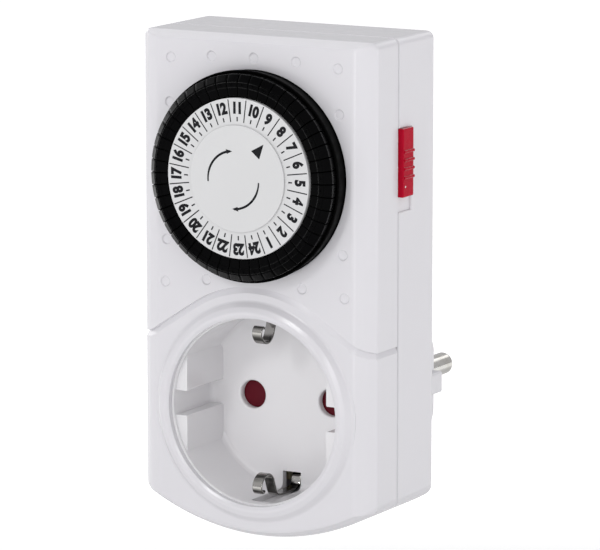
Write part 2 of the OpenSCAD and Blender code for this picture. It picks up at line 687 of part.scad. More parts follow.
module override_slider() color(CRIMSON) {
    z0 = slider_z - slider_h / 2;
    z1 = slider_z + slider_h / 2;
    block([hw - recess_d + 0.08, slider_y[0], z0], [slider_face_x, slider_y[1], z1]);
    for (k = [-1.5:1:1.5]) translate([slider_face_x - eps, 0, ridge_z + k * ridge_pitch]) finger_ridge();
    block([flange_x[1] - eps, slot_y[0] + 0.1, slot_z[0] + 2.5],
        [hw - recess_d + 0.1, slot_y[1] - 0.1, slot_z[1] - 0.1]);
    block([flange_x[0], rear_y + 0.2, 44.4], [flange_x[1], -28.3, 60.5]);
    block([flange_x[0] - 2, -39.1, hook_z[0]], [flange_x[0] + eps, -30, hook_z[1]]);
    block([14, -39.1, hook_z[0]], [flange_x[0] - 2 + eps, -37.7, hook_z[1]]);
    along_x([14, 16]) polygon([[-39.1, 52.6], [-38, 52.6], [-36.5, 55.1], [-36.5, hook_z[1]],
        [-39.1, hook_z[1]]]);
}

module finger_ridge() along_y(slider_y[0] + 0.5, slider_y[1] - 0.5)
    polygon([[0, -0.4], [0.3, -0.25], [0.3, 0.25], [0, 0.4]]);

module detent_spring() color(STEEL) along_y(-32.6, -29.4) polygon(ribbon([[20.1, 39], [20.1, 46],
    [22, 48.4], [23.7, 49.6], [22, 50.8], [20.8, 53]], 0.25));

// ---- Nodes ---------------------------------------------------------------------------------

front_cover();
rear_cover();
plug_body();
socket_insert();
socket_shutter();
shutter_spring();
contact_holder();
socket_contacts();
earth_clips();
plug_earth_contacts();
plug_pins();
live_busbar();
load_busbar();
neutral_busbar();
mechanism_plate();
motor_can();
motor_coil();
motor_rotor();
motor_pinion();
reduction_gear_a();
reduction_gear_b();
pivot_pins();
dial_gear();
dial_ring();
scale_ring();
centre_disc();
centre_post();
switch_lever();
moving_contact();
override_slider();
detent_spring();
dial_click_spring();
housing_screws();
plate_screws();
motor_leads();
rating_label();
for (h = [1:hours]) tappet_hour(h);
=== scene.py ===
"""Looks of a plug-in mechanical day timer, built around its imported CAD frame.

Sizes are in millimetres in the frame's own axes: the origin is the middle of the plug's contact
face, +Y runs along the pins into the wall, +Z is up, and the dial and the socket face -Y.
Meshes and the camera are scaled to metres as they are made. The floor and the lamps, at the end,
are given in metres.
"""
from math import atan2, cos, degrees, radians, sin, sqrt, tan

import bmesh
import bpy
from mathutils import Matrix, Vector


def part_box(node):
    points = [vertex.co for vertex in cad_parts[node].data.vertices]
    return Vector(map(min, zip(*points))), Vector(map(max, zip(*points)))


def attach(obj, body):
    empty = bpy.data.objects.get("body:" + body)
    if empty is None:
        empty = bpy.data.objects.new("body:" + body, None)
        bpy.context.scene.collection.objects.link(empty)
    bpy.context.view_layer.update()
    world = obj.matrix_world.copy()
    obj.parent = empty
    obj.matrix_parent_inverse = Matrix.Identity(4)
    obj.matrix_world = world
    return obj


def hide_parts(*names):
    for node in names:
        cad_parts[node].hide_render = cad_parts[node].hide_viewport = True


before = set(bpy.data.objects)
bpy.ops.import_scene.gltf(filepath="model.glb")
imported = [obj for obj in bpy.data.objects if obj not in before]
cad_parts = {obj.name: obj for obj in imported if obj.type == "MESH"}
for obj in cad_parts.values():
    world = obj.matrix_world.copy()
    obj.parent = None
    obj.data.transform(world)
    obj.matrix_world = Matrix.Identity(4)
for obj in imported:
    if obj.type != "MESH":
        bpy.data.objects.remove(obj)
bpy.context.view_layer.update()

MM = 0.001
TINY = 0.02                # overlap that joins two solids, or lets a cutter pass a surface


# ---- Sizes read from the frame ----

def box_mm(node):
    """Lowest and highest corner of a CAD node, in millimetres."""
    low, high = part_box(node)
    return low / MM, high / MM


FRONT_LOW, FRONT_HIGH = box_mm("front_cover")
BODY_PLUG_LOW, BODY_PLUG_HIGH = box_mm("plug_body")
DIAL_LOW, DIAL_HIGH = box_mm("dial_ring")
SCALE_LOW, SCALE_HIGH = box_mm("scale_ring")
DISC_LOW, DISC_HIGH = box_mm("centre_disc")
INSERT_LOW, INSERT_HIGH = box_mm("socket_insert")
SLIDER_HIGH = box_mm("override_slider")[1]
TAPPET_LOW, TAPPET_HIGH = box_mm("tappet_hour_05")

HALF_W = FRONT_HIGH.x
TOP_Z = FRONT_HIGH.z
BOTTOM_Z = FRONT_LOW.z
PARTING_Y = FRONT_HIGH.y     # back edge of the front cover
RIM_Y = FRONT_LOW.y
FACE_Y = RIM_Y + 1.5
BACK_Y = BODY_PLUG_LOW.y + 2
REAR_Y = PARTING_Y + 0.3     # front edge of the rear cover
WALL = 2
CAVITY_Y = FACE_Y + 2.6      # inside of the front wall
INNER_BACK_Y = BACK_Y - WALL # inside of the back wall
DIAL_Z = (DIAL_LOW.z + DIAL_HIGH.z) / 2
DIAL_R = (DIAL_HIGH.z - DIAL_LOW.z) / 2
SKIRT_R = DIAL_R - 0.6       # where the dial's skirt passes the front face
SCALE_R = (SCALE_HIGH.z - SCALE_LOW.z) / 2
DISC_R = (DISC_HIGH.z - DISC_LOW.z) / 2
INSERT_R = INSERT_HIGH.z
DIAL = (0, DIAL_Z)
SOCKET = (0, 0)
PIN_X = 9.5
SIDES = (1, -1)
POST_IN = 4.8                # screw posts, in from the side walls and the top
POSTS = [(sx * (HALF_W - POST_IN), z) for sx in SIDES for z in (TOP_Z - POST_IN, -15.5)]


# ---- Mesh helpers ----

def new_object(name, data):
    """An object in the scene that shows the given data."""
    obj = bpy.data.objects.new(name, data)
    bpy.context.scene.collection.objects.link(obj)
    return obj


def mesh_object(name, points, faces):
    """A closed mesh from points in millimetres, with its faces turned outwards."""
    mesh = bpy.data.meshes.new(name)
    mesh.from_pydata([tuple(c * MM for c in p) for p in points], [], faces)
    bm = bmesh.new()
    bm.from_mesh(mesh)
    bmesh.ops.recalc_face_normals(bm, faces=bm.faces)
    bm.to_mesh(mesh)
    bm.free()
    return new_object(name, mesh)


def rounded(corners, steps=5, closed=True):
    """Points of an outline given as (u, v, radius) corners, each rounded by its radius."""
    out = []
    last = len(corners) - 1
    for i, (u, v, radius) in enumerate(corners):
        at = Vector((u, v))
        if radius == 0 or (not closed and i in (0, last)):
            out.append((u, v))
            continue
        back = Vector(corners[i - 1][:2]) - at
        ahead = Vector(corners[(i + 1) % len(corners)][:2]) - at
        half = back.angle(ahead) / 2
        reach = min(radius / tan(half), 0.49 * back.length, 0.49 * ahead.length)
        radius = reach * tan(half)
        towards = (back.normalized() + ahead.normalized()).normalized()
        centre = at + towards * reach / cos(half)
        start = at + back.normalized() * reach - centre
        end = at + ahead.normalized() * reach - centre
        turn = atan2(start.x * end.y - start.y * end.x, start.dot(end))
        for k in range(steps + 1):
            spun = Matrix.Rotation(turn * k / steps, 2) @ start
            out.append((centre.x + spun.x, centre.y + spun.y))
    return out


def turned(name, axis, profile, start=0.0, sweep=360.0, segments=96):
    """Closed profile of (radius, y) points turned about the Y axis through axis = (x, z)."""
    whole = sweep > 359.9
    count = segments if whole else segments + 1
    points, rings = [], []
    for k in range(count):
        angle = radians(start + sweep * k / segments)
        ring = []
        for radius, y in profile:
            if radius < 1e-6 and rings:
                ring.append(rings[0][len(ring)])
                continue
            ring.append(len(points))
            points.append((axis[0] + radius * cos(angle), y,
                           axis[1] + radius * sin(angle)))
        rings.append(ring)
    faces = []
    n = len(profile)
    for k in range(segments):
        a, b = rings[k], rings[(k + 1) % count]
        for i in range(n):
            j = (i + 1) % n
            corners = list(dict.fromkeys((a[i], a[j], b[j], b[i])))
            if len(corners) > 2:
                faces.append(corners)
    if not whole:
        faces += [rings[0], rings[-1]]
    return mesh_object(name, points, faces)


def lofted(name, rings):
    """A solid through rings of equally many points, closed with a flat face at each end."""
    n = len(rings[0])
    points = [p for ring in rings for p in ring]
    faces = [list(range(n)), list(range((len(rings) - 1) * n, len(rings) * n))]
    for k in range(len(rings) - 1):
        for i in range(n):
            j = (i + 1) % n
            faces.append((k * n + i, k * n + j, (k + 1) * n + j, (k + 1) * n + i))
    return mesh_object(name, points, faces)


def prism(name, outline, low, high, along="y"):
    """A flat outline run along one axis. The outline is in (x, z) for y and in (y, z) for x."""
    place = {"y": lambda a, b, t: (a, t, b), "x": lambda a, b, t: (t, a, b)}[along]
    return lofted(name, [[place(a, b, t) for a, b in outline] for t in (low, high)])


def box(name, low, high):
    """A block between two corners."""
    outline = [(low[0], low[2]), (high[0], low[2]), (high[0], high[2]), (low[0], high[2])]
    return prism(name, outline, low[1], high[1])


def rod(name, axis, radius, low, high, segments=48):
    """A round bar along Y."""
    profile = [(0, low), (radius, low), (radius, high), (0, high)]
    return turned(name, axis, profile, segments=segments)


def bake(obj):
    """Applies the modifiers of a piece to its mesh."""
    graph = bpy.context.evaluated_depsgraph_get()
    mesh = bpy.data.meshes.new_from_object(obj.evaluated_get(graph), depsgraph=graph)
    obj.modifiers.clear()
    old = obj.data
    obj.data = mesh
    bpy.data.meshes.remove(old)
    return obj


def combine(obj, tools, operation):
    """Booleans of obj with each tool in turn. The tools are used up."""
    for tool in tools:
        modifier = obj.modifiers.new(operation.lower(), "BOOLEAN")
        modifier.operation = operation
        modifier.solver = "MANIFOLD"
        modifier.object = tool
    bake(obj)
    for tool in tools:
        bpy.data.objects.remove(tool)
    return obj


def cut(obj, *tools):
    """Takes tools away from a solid."""
    return combine(obj, tools, "DIFFERENCE")


def add(obj, *tools):
    """Merges solids into one closed skin."""
    return combine(obj, tools, "UNION")


def joined(name, parts):
    """Several meshes as one piece."""
    mesh = bpy.data.meshes.new(name)
    bm = bmesh.new()
    for part in parts:
        bm.from_mesh(part.data)
    bm.to_mesh(mesh)
    bm.free()
    for part in parts:
        bpy.data.objects.remove(part)
    return new_object(name, mesh)


def soften(obj, width, segments=2, angle=40):
    """Small rounds on the edges that turn by more than the angle."""
    modifier = obj.modifiers.new("soften", "BEVEL")
    modifier.width = width * MM
    modifier.segments = segments
    modifier.limit_method = "ANGLE"
    modifier.angle_limit = radians(angle)
    modifier.use_clamp_overlap = True
    return bake(obj)


def shade(obj, angle=32):
    """Smooth shading that keeps flat faces flat and crisp edges crisp."""
    obj.data.shade_smooth()
    obj.data.set_sharp_from_angle(angle=radians(angle))
    modifier = obj.modifiers.new("normals", "WEIGHTED_NORMAL")
    modifier.keep_sharp = True
    modifier.weight = 80
    return bake(obj)


# ---- Materials ----

def new_material(name):
    """A material with its node tree, main shader and object coordinates."""
    material = bpy.data.materials.new(name)
    material.use_nodes = True
    tree = material.node_tree
    shader = tree.nodes["Principled BSDF"]
    place = tree.nodes.new("ShaderNodeTexCoord").outputs["Object"]
    return material, tree, shader, place


def preset(node, values):
    """Gives a node's inputs their values, by name."""
    for key, value in values.items():
        node.inputs[key].default_value = value


def noise(tree, place, scale, detail=2.0, stretch=None):
    """Noise of a given scale per millimetre, drawn out along the axes by stretch."""
    node = tree.nodes.new("ShaderNodeTexNoise")
    preset(node, {"Scale": scale / MM, "Detail": detail})
    if stretch:
        mapping = tree.nodes.new("ShaderNodeMapping")
        preset(mapping, {"Scale": stretch})
        tree.links.new(place, mapping.inputs["Vector"])
        place = mapping.outputs["Vector"]
    tree.links.new(place, node.inputs["Vector"])
    return node.outputs["Fac"]


def map_range(nodes, spread, easing="LINEAR"):
    """A node that maps one range to another, given as from low, from high, to low, to high."""
    node = nodes.new("ShaderNodeMapRange")
    node.interpolation_type = easing
    preset(node, dict(zip(("From Min", "From Max", "To Min", "To Max"), spread)))
    return node


def ranged(tree, value, low, high):
    """A 0.3 to 0.7 noise value spread over low to high."""
    node = map_range(tree.nodes, (0.3, 0.7, low, high))
    tree.links.new(value, node.inputs["Value"])
    return node.outputs["Result"]


def tinted(tree, factor, first, second):
    """A blend of two colours."""
    node = tree.nodes.new("ShaderNodeMix")
    node.data_type = "RGBA"
    preset(node, {"A": (*first, 1), "B": (*second, 1)})
    tree.links.new(factor, node.inputs["Factor"])
    return node.outputs["Result"]


def bumped(tree, shader, height, distance, strength=1.0, below=None):
    """Relief of a height value, in millimetres, on top of another relief."""
    node = tree.nodes.new("ShaderNodeBump")
    preset(node, {"Distance": distance * MM, "Strength": strength})
    tree.links.new(height, node.inputs["Height"])
    if below:
        tree.links.new(below, node.inputs["Normal"])
    tree.links.new(node.outputs["Normal"], shader.inputs["Normal"])
    return node.outputs["Normal"]


def plastic(name, colour, shadow, rough, grain, relief, glow=0.0, specular=0.5):
    """Moulded plastic: faint flow marks, a fine spark-eroded grain and uneven gloss."""
    material, tree, shader, place = new_material(name)
    flow = ranged(tree, noise(tree, place, 0.06, 3), 0, 1)
    tree.links.new(tinted(tree, flow, colour, shadow), shader.inputs["Base Color"])
    gloss = ranged(tree, noise(tree, place, 0.5, 4), rough[0], rough[1])
    tree.links.new(gloss, shader.inputs["Roughness"])
    wave = bumped(tree, shader, noise(tree, place, 0.1, 1), 0.01, 0.3)
    bumped(tree, shader, noise(tree, place, grain, 3), relief, 0.6, wave)
    preset(shader, {"Specular IOR Level": specular})
    if glow:
        preset(shader, {"Subsurface Weight": glow, "Subsurface Radius": (1.0, 0.95, 0.95),
                        "Subsurface Scale": 1.2 * MM})
    return material


def sheened(name, colour, shadow, rough, grain, relief, turn, gloss):
    """Plastic that shines only where it turns away: turn spans the facing, gloss the shine."""
    material = plastic(name, colour, shadow, rough, grain, relief)
    tree = material.node_tree
    shader = tree.nodes["Principled BSDF"]
    facing = tree.nodes.new("ShaderNodeLayerWeight").outputs["Facing"]
    sheen = map_range(tree.nodes, turn + gloss)
    tree.links.new(facing, sheen.inputs["Value"])
    tree.links.new(sheen.outputs["Result"], shader.inputs["Specular IOR Level"])
    return material


def metal(name, colour, dull, rough, stretch):
    """Plated or stamped metal: rolling lines along one axis and slightly stained gloss."""
    material, tree, shader, place = new_material(name)
    preset(shader, {"Metallic": 1.0})
    stain = ranged(tree, noise(tree, place, 0.35, 4), 0, 1)
    tree.links.new(tinted(tree, stain, colour, dull), shader.inputs["Base Color"])
    lines = noise(tree, place, 3, 3, stretch)
    tree.links.new(ranged(tree, lines, rough[0], rough[1]), shader.inputs["Roughness"])
    bumped(tree, shader, lines, 0.006, 0.5)
    return material


# How bright the painted reflection makes the plate, from facing the eye (0) to edge-on (1)
PAINTED_REFLECTION_STOPS = ((0, 0.9), (0.16, 0.75), (0.3, 0.16), (0.46, 0.1), (0.6, 0.7), (0.78, 0.2),
                (1, 0.45))


def mirrored(name, colour, dull, rough, stretch):
    """Bright plate with a painted reflection: its tone goes lighter and darker as it turns, as if
    it reflected pale panels and dark gaps.
    """
    material = metal(name, colour, dull, rough, stretch)
    tree = material.node_tree
    shader = tree.nodes["Principled BSDF"]
    # Painted reflection: a ramp over the facing angle darkens and lightens the base colour
    painted_reflection = tree.nodes.new("ShaderNodeValToRGB")
    while len(painted_reflection.color_ramp.elements) < len(PAINTED_REFLECTION_STOPS):
        painted_reflection.color_ramp.elements.new(0.5)
    for element, (at, value) in zip(painted_reflection.color_ramp.elements, PAINTED_REFLECTION_STOPS):
        element.position, element.color = at, (value, value, value, 1)
    tree.links.new(tree.nodes.new("ShaderNodeLayerWeight").outputs["Facing"], painted_reflection.inputs["Fac"])
    plate = tree.nodes.new("ShaderNodeMix")
    plate.data_type, plate.blend_type = "RGBA", "MULTIPLY"
    preset(plate, {"Factor": 1})
    tree.links.new(shader.inputs["Base Color"].links[0].from_socket, plate.inputs["A"])
    tree.links.new(painted_reflection.outputs["Color"], plate.inputs["B"])
    tree.links.new(plate.outputs["Result"], shader.inputs["Base Color"])
    return material


def wound(name, colour, dark):
    """Enamelled wire wound in close turns about the Y axis."""
    material, tree, shader, place = new_material(name)
    waves = tree.nodes.new("ShaderNodeTexWave")
    waves.bands_direction = "Y"
    preset(waves, {"Scale": 0.8 / MM, "Distortion": 0.6})
    tree.links.new(place, waves.inputs["Vector"])
    tree.links.new(tinted(tree, waves.outputs["Fac"], dark, colour), shader.inputs["Base Color"])
    preset(shader, {"Metallic": 0.7, "Roughness": 0.32})
    bumped(tree, shader, waves.outputs["Fac"], 0.08)
    return material


def paper(name, colour, shadow):
    """Printed label film with a faint fibre."""
    material, tree, shader, place = new_material(name)
    fibre = ranged(tree, noise(tree, place, 2.5, 5, (1, 1, 0.3)), 0, 1)
    tree.links.new(tinted(tree, fibre, colour, shadow), shader.inputs["Base Color"])
    preset(shader, {"Roughness": 0.45})
    bumped(tree, shader, fibre, 0.004)
    return material


# Plastics: colour, its darker flow marks, roughness range, grain per millimetre and relief
WHITE = plastic("white_shell", (0.74, 0.728, 0.758), (0.73, 0.718, 0.748), (0.19, 0.23),
                3.0, 0.0018, 0.12)
PAPER_WHITE = plastic("white_dial", (0.70, 0.70, 0.705), (0.68, 0.68, 0.685), (0.38, 0.5),
                      2.6, 0.004)
INSERT_WHITE = plastic("white_socket", (0.81, 0.8, 0.815), (0.8, 0.79, 0.805), (0.2, 0.26),
                       3.0, 0.0012, 0.12)
BLACK = sheened("black_satin", (0.0015, 0.0015, 0.0017), (0.003, 0.003, 0.0032), (0.22, 0.34),
                1.4, 0.01, (0.25, 0.6), (0.02, 0.4))
SKIRT_BLACK = plastic("black_skirt", (0.001, 0.001, 0.001), (0.0015, 0.0015, 0.0015), (0.36, 0.5),
                      1.8, 0.01, specular=0.015)
INK = plastic("black_ink", (0.006, 0.006, 0.008), (0.012, 0.012, 0.015), (0.4, 0.55),
              4.0, 0.002, specular=0.15)
# White for the small dot on the slider: partly a mark, partly a painted highlight of a bright spot
# there
WHITE_MARK_HIGHLIGHT = plastic("white_mark_highlight", (0.8, 0.78, 0.78), (0.7, 0.66, 0.66), (0.4, 0.5), 4.0, 0.002)
CRIMSON = sheened("crimson_gloss", (0.47, 0.004, 0.024), (0.41, 0.003, 0.02), (0.22, 0.32),
                  2.0, 0.006, (0.54, 0.68), (0.04, 1.0))
# The pin shutter's dark red is set from its tone deep in the pin holes: partly its own red, partly
# painted shade
SHUTTER_RED_PAINTED_SHADE = plastic("shutter_red_painted_shade", (0.11, 0.006, 0.014), (0.09, 0.005, 0.011), (0.35, 0.5),
                 2.0, 0.006, specular=0.12)
AMBER = plastic("natural_nylon", (0.62, 0.55, 0.38), (0.56, 0.49, 0.33), (0.4, 0.52),
                1.6, 0.008, 0.15)
GEAR_WHITE = plastic("white_acetal", (0.74, 0.73, 0.69), (0.7, 0.69, 0.66), (0.3, 0.42),
                     1.8, 0.005, 0.15)
FERRITE = plastic("bonded_ferrite", (0.035, 0.035, 0.04), (0.02, 0.02, 0.024), (0.5, 0.7),
                  3.0, 0.02)
SHEATH = plastic("wire_sheath", (0.13, 0.05, 0.025), (0.11, 0.04, 0.02), (0.4, 0.55), 1.2, 0.01)

# Metals: colour, its stains, roughness range and the stretch of the rolling lines
NICKEL_PLATE = ((0.7, 0.69, 0.67), (0.6, 0.58, 0.54), (0.08, 0.2), (1, 0.12, 1))
# The earth clips' nickel, with a painted reflection that changes with the angle to the eye
CLIP_NICKEL_PAINTED_REFLECTION = mirrored("nickel_painted_reflection", *NICKEL_PLATE)
NICKEL = metal("bright_nickel", *NICKEL_PLATE)
BRASS = metal("stamped_brass", (0.72, 0.5, 0.2), (0.58, 0.38, 0.14), (0.2, 0.36), (1, 1, 0.12))
STEEL = metal("zinc_steel", (0.6, 0.61, 0.63), (0.5, 0.5, 0.5), (0.24, 0.42), (0.12, 1, 1))
COPPER = wound("enamelled_copper", (0.62, 0.24, 0.08), (0.2, 0.06, 0.02))
LABEL = paper("label_film", (0.5, 0.5, 0.51), (0.46, 0.46, 0.47))


def place_piece(obj, material, body, slot, *nodes, smooth=32):
    """Shades a piece, gives it its material and body, and hides the nodes that it replaces; slot is
    not used.
    """
    if smooth:
        shade(obj, smooth)
    obj.data.materials.clear()
    obj.data.materials.append(material)
    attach(obj, body)
    if nodes:
        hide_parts(*nodes)
    return obj


# ---- Housing ----

BOTTOM_RISE = 7.9          # from the middle of the bottom edge to the side walls
CORNER_R = 2.6
TOP_CORNER_R = 1.6
GROOVE_R = 25.7            # groove that arches over the socket
GROOVE_END = 57            # direction where the arch turns into a straight run
GROOVE_SIDE_Z = 13.9       # where it runs back along the side walls
GROOVE_HALF_W = 0.7
GROOVE_DEPTH = 0.6
# Section of the groove, steep above and sloping below: across in half widths, out in depths
GROOVE_SECTION = ((-2.6, 1), (1.05, 1.2), (0.85, -0.85), (0.7, -1), (0.5, -0.92))
DIMPLES = ((0, 74.2), (10, 74), (19.8, 73.2), (20.1, 63.8), (21, 34.8), (21.4, 25.8), (11.4, 27))
DIMPLE_SECTION = ((0, -1), (1.3, -1), (1.3, -0.004), (1.16, 0.03), (1.06, 0.13), (0.98, 0.25),
                  (0.86, 0.31), (0.6, 0.29), (0, 0.24))
RIM_R = 22.8
RIM_IN_R = 20
RIM_FOOT_R = RIM_R + 1.2   # where the rim runs out on the face
EDGE_IN = 4.3              # width of the sloping bands along the sides of the front face
EDGE_TOP = 1.4             # width of the bands along its top and bottom
EDGE_BACK = 2.75           # how far back the bands reach
PARTING_BREAK = 0.22       # small flat on the edges where the covers meet
SPIGOT_R = 16.4            # the plug body's root inside the rear cover
COUNTERBORE_R = 2.8        # for the screw heads in the back
COUNTERBORE_LIP = 0.4
EARTH_W = 1.1              # half width of the earth contact strips
EARTH_SLOT = 2.2           # half width of the slots that they pass through


def arc(centre, radius, start, end, steps):
    """Points of an arc in a plane."""
    turns = [radians(start + (end - start) * k / steps) for k in range(steps + 1)]
    return [(centre[0] + radius * cos(t), centre[1] + radius * sin(t)) for t in turns]


def housing_outline(inset, rim=None):
    """The housing's outline, moved inwards by inset, or by rim along the top and the bottom."""
    rim = inset if rim is None else rim
    radius = (HALF_W ** 2 + BOTTOM_RISE ** 2) / (2 * BOTTOM_RISE) - rim
    centre_z = BOTTOM_Z + radius + rim
    w, top = HALF_W - inset, TOP_Z - rim
    low_r, top_r = max(CORNER_R - inset, 0.5), max(TOP_CORNER_R - inset, 0.5)
    corner_z = centre_z - sqrt((radius - low_r) ** 2 - (w - low_r) ** 2)
    a = degrees(atan2(corner_z - centre_z, w - low_r))
    return (arc((0, centre_z), radius, -180 - a, a, 32)[:-1]
            + arc((w - low_r, corner_z), low_r, a, 0, 8)
            + arc((w - top_r, top - top_r), top_r, 0, 90, 8)
            + arc((top_r - w, top - top_r), top_r, 90, 180, 8)
            + arc((low_r - w, corner_z), low_r, 180, 180 - a, 8)[:-1])


def housing_loft(name, profile):
    """The housing's outline through (inset, y) points."""
    return lofted(name, [[(x, y, z) for x, z in housing_outline(inset)] for inset, y in profile])


def banded_loft(name, profile):
    """The same, with the bands of the front face narrower along the top and the bottom."""
    rings = []
    for inset, y in profile:
        behind = y > FACE_Y + EDGE_BACK + 1
        narrow = min(inset, EDGE_IN) * EDGE_TOP / EDGE_IN + max(inset - EDGE_IN, 0)
        outline = housing_outline(inset, inset if behind else narrow)
        rings.append([(x, y, z) for x, z in outline])
    return lofted(name, rings)


def groove_cutter():
    """A bar that follows the face, the sloping bands and the side walls on both sides."""
    turn = radians(GROOVE_END)
    foot = Vector((GROOVE_R * cos(turn), GROOVE_R * sin(turn)))
    fall = 1 / tan(turn)
    edge_x = HALF_W - EDGE_IN
    edge_z = foot.y - (edge_x - foot.x) * fall
    side_z, band_y = GROOVE_SIDE_Z, FACE_Y + EDGE_BACK
    half = [((HALF_W, PARTING_Y + 1, side_z), (1, 0, 0)),
            ((HALF_W, band_y + 0.8, side_z), (1, 0, 0)),
            ((HALF_W - 0.12, band_y - 0.12, side_z), (1, -0.6, 0)),
            ((HALF_W - 1.8, FACE_Y + 1.3, side_z + 0.4), (0.6, -1, 0)),
            ((edge_x + 0.7, FACE_Y + 0.35, edge_z - 0.45), (0.35, -1, 0)),
            ((edge_x - 0.9, FACE_Y, edge_z + 0.9 * fall), (0, -1, 0)),
            ((foot.x + 3, FACE_Y, foot.y - 3 * fall), (0, -1, 0))]
    half += [((x, FACE_Y, z), (0, -1, 0)) for x, z in arc(SOCKET, GROOVE_R, GROOVE_END, 90, 16)]
    route = half + [((-p[0], p[1], p[2]), (-n[0], n[1], n[2])) for p, n in half[-2::-1]]
    last = len(route) - 1
    rings = []
    for i, (at, normal) in enumerate(route):
        here, out = Vector(at), Vector(normal).normalized()
        run = (Vector(route[min(i + 1, last)][0]) - Vector(route[max(i - 1, 0)][0])).normalized()
        out = (out - run * out.dot(run)).normalized()
        across = run.cross(out)
        rings.append([tuple(here + across * (u * GROOVE_HALF_W) + out * (v * GROOVE_DEPTH))
                      for u, v in GROOVE_SECTION])
    return lofted("groove", rings)


def dimple_cutters():
    """Shallow round recesses with soft edges, in rows above and below the dial."""
    profile = [(radius, FACE_Y + depth) for radius, depth in DIMPLE_SECTION]
    places = [(sx * x, z) for x, z in DIMPLES for sx in (SIDES if x else (1,))]
    return [turned("dimple", at, profile, segments=40) for at in places]


def rim():
    """The raised rim around the socket's well, with a rounded crown."""
    profile = rounded([(RIM_IN_R - 1, FACE_Y + 0.1, 0), (RIM_IN_R - 1, RIM_Y + 0.9, 0.3),
                       (RIM_IN_R + 0.6, RIM_Y + 0.05, 0.8), (21.2, RIM_Y, 1),
                       (RIM_R - 0.5, RIM_Y + 0.45, 1.2), (RIM_R + 0.5, FACE_Y - 0.05, 1.2),
                       (RIM_FOOT_R, FACE_Y + 0.06, 0), (RIM_FOOT_R, FACE_Y + 1, 0),
                       (RIM_IN_R - 1, FACE_Y + 1, 0)], 6)
    return turned("rim", SOCKET, profile, segments=128)


def flared_hole(name, axis, radius, front, back, lip, segments=96):
    """A cutter for a round hole whose front edge is rounded by lip."""
    profile = [(0, front - 2), (radius + lip, front - 2), (radius + lip, front - 0.001)]
    for turn in map(radians, (15, 30, 45, 60, 75, 90)):
        profile.append((radius + lip - lip * sin(turn), front + lip - lip * cos(turn)))
    profile += [(radius, back), (0, back)]
    return turned(name, axis, profile, segments=segments)


def front_shell():
    """The front cover: face, sloping bands, rim, groove, dimples and the two big openings."""
    band = rounded([(PARTING_BREAK, PARTING_Y, 0), (0, PARTING_Y - PARTING_BREAK, 0),
                    (0, FACE_Y + EDGE_BACK, 0.9), (1.8, FACE_Y + 1.26, 6), (EDGE_IN, FACE_Y, 3),
                    (EDGE_IN + 2, FACE_Y, 0)], 6, closed=False)
    shell = banded_loft("front_shell", band)
    posts = [rod("post", at, 3, CAVITY_Y - TINY, PARTING_Y) for at in POSTS]
    cut(shell, housing_loft("cavity", [(WALL, CAVITY_Y), (WALL, PARTING_Y + 1)]))
    add(shell, rim(), *posts)
    seat_r = INSERT_R + 0.1
    socket_hole = turned("socket_hole", SOCKET, rounded(
        [(0, RIM_Y - 1, 0), (RIM_IN_R, RIM_Y - 1, 0), (RIM_IN_R, INSERT_LOW.y, 0),
         (seat_r, INSERT_LOW.y, 0), (seat_r, CAVITY_Y + 2, 0), (0, CAVITY_Y + 2, 0)]), segments=128)
    dial_hole = flared_hole("dial_hole", DIAL, SKIRT_R + 0.2, FACE_Y, CAVITY_Y + 1, 0.12, 128)
    cut(shell, socket_hole, dial_hole, groove_cutter(), *dimple_cutters(),
        *[rod("screw_hole", at, 1.12, FACE_Y + 3.6, PARTING_Y + 1, 24) for at in POSTS])
    return place_piece(shell, WHITE, "root", "white_plastic", "front_cover", smooth=24)


RECESS_D = 0.5
RECESS_BACK_Y = -31.7      # back end of the override slider's recess
RECESS_LOW_Z = 42.5
PAD_Z = (45.7, 60)         # ends of the override slider's finger piece
RECESS_HIGH_Z = PAD_Z[1] + 0.08


def slider_recess():
    """Cutters for the override slider: a shallow recess in the right wall, a slot through it."""
    rings = []
    for grow, x in ((0, HALF_W - RECESS_D), (0, HALF_W - 0.2), (0.16, HALF_W + 0.001),
                    (0.16, HALF_W + 1)):
        low_z, back_y = RECESS_LOW_Z - grow, RECESS_BACK_Y + grow
        outline = rounded([(REAR_Y - 1, low_z, 0), (back_y, low_z, 0.3),
                           (back_y, RECESS_HIGH_Z, 0.3), (REAR_Y - 1, RECESS_HIGH_Z, 0)], 4)
        rings.append([(x, y, z) for y, z in outline])
    slot = box("slot", (HALF_W - WALL - 0.5, -35.2, 46), (HALF_W, -34.2, 57.7))
    return [lofted("recess", rings), slot]


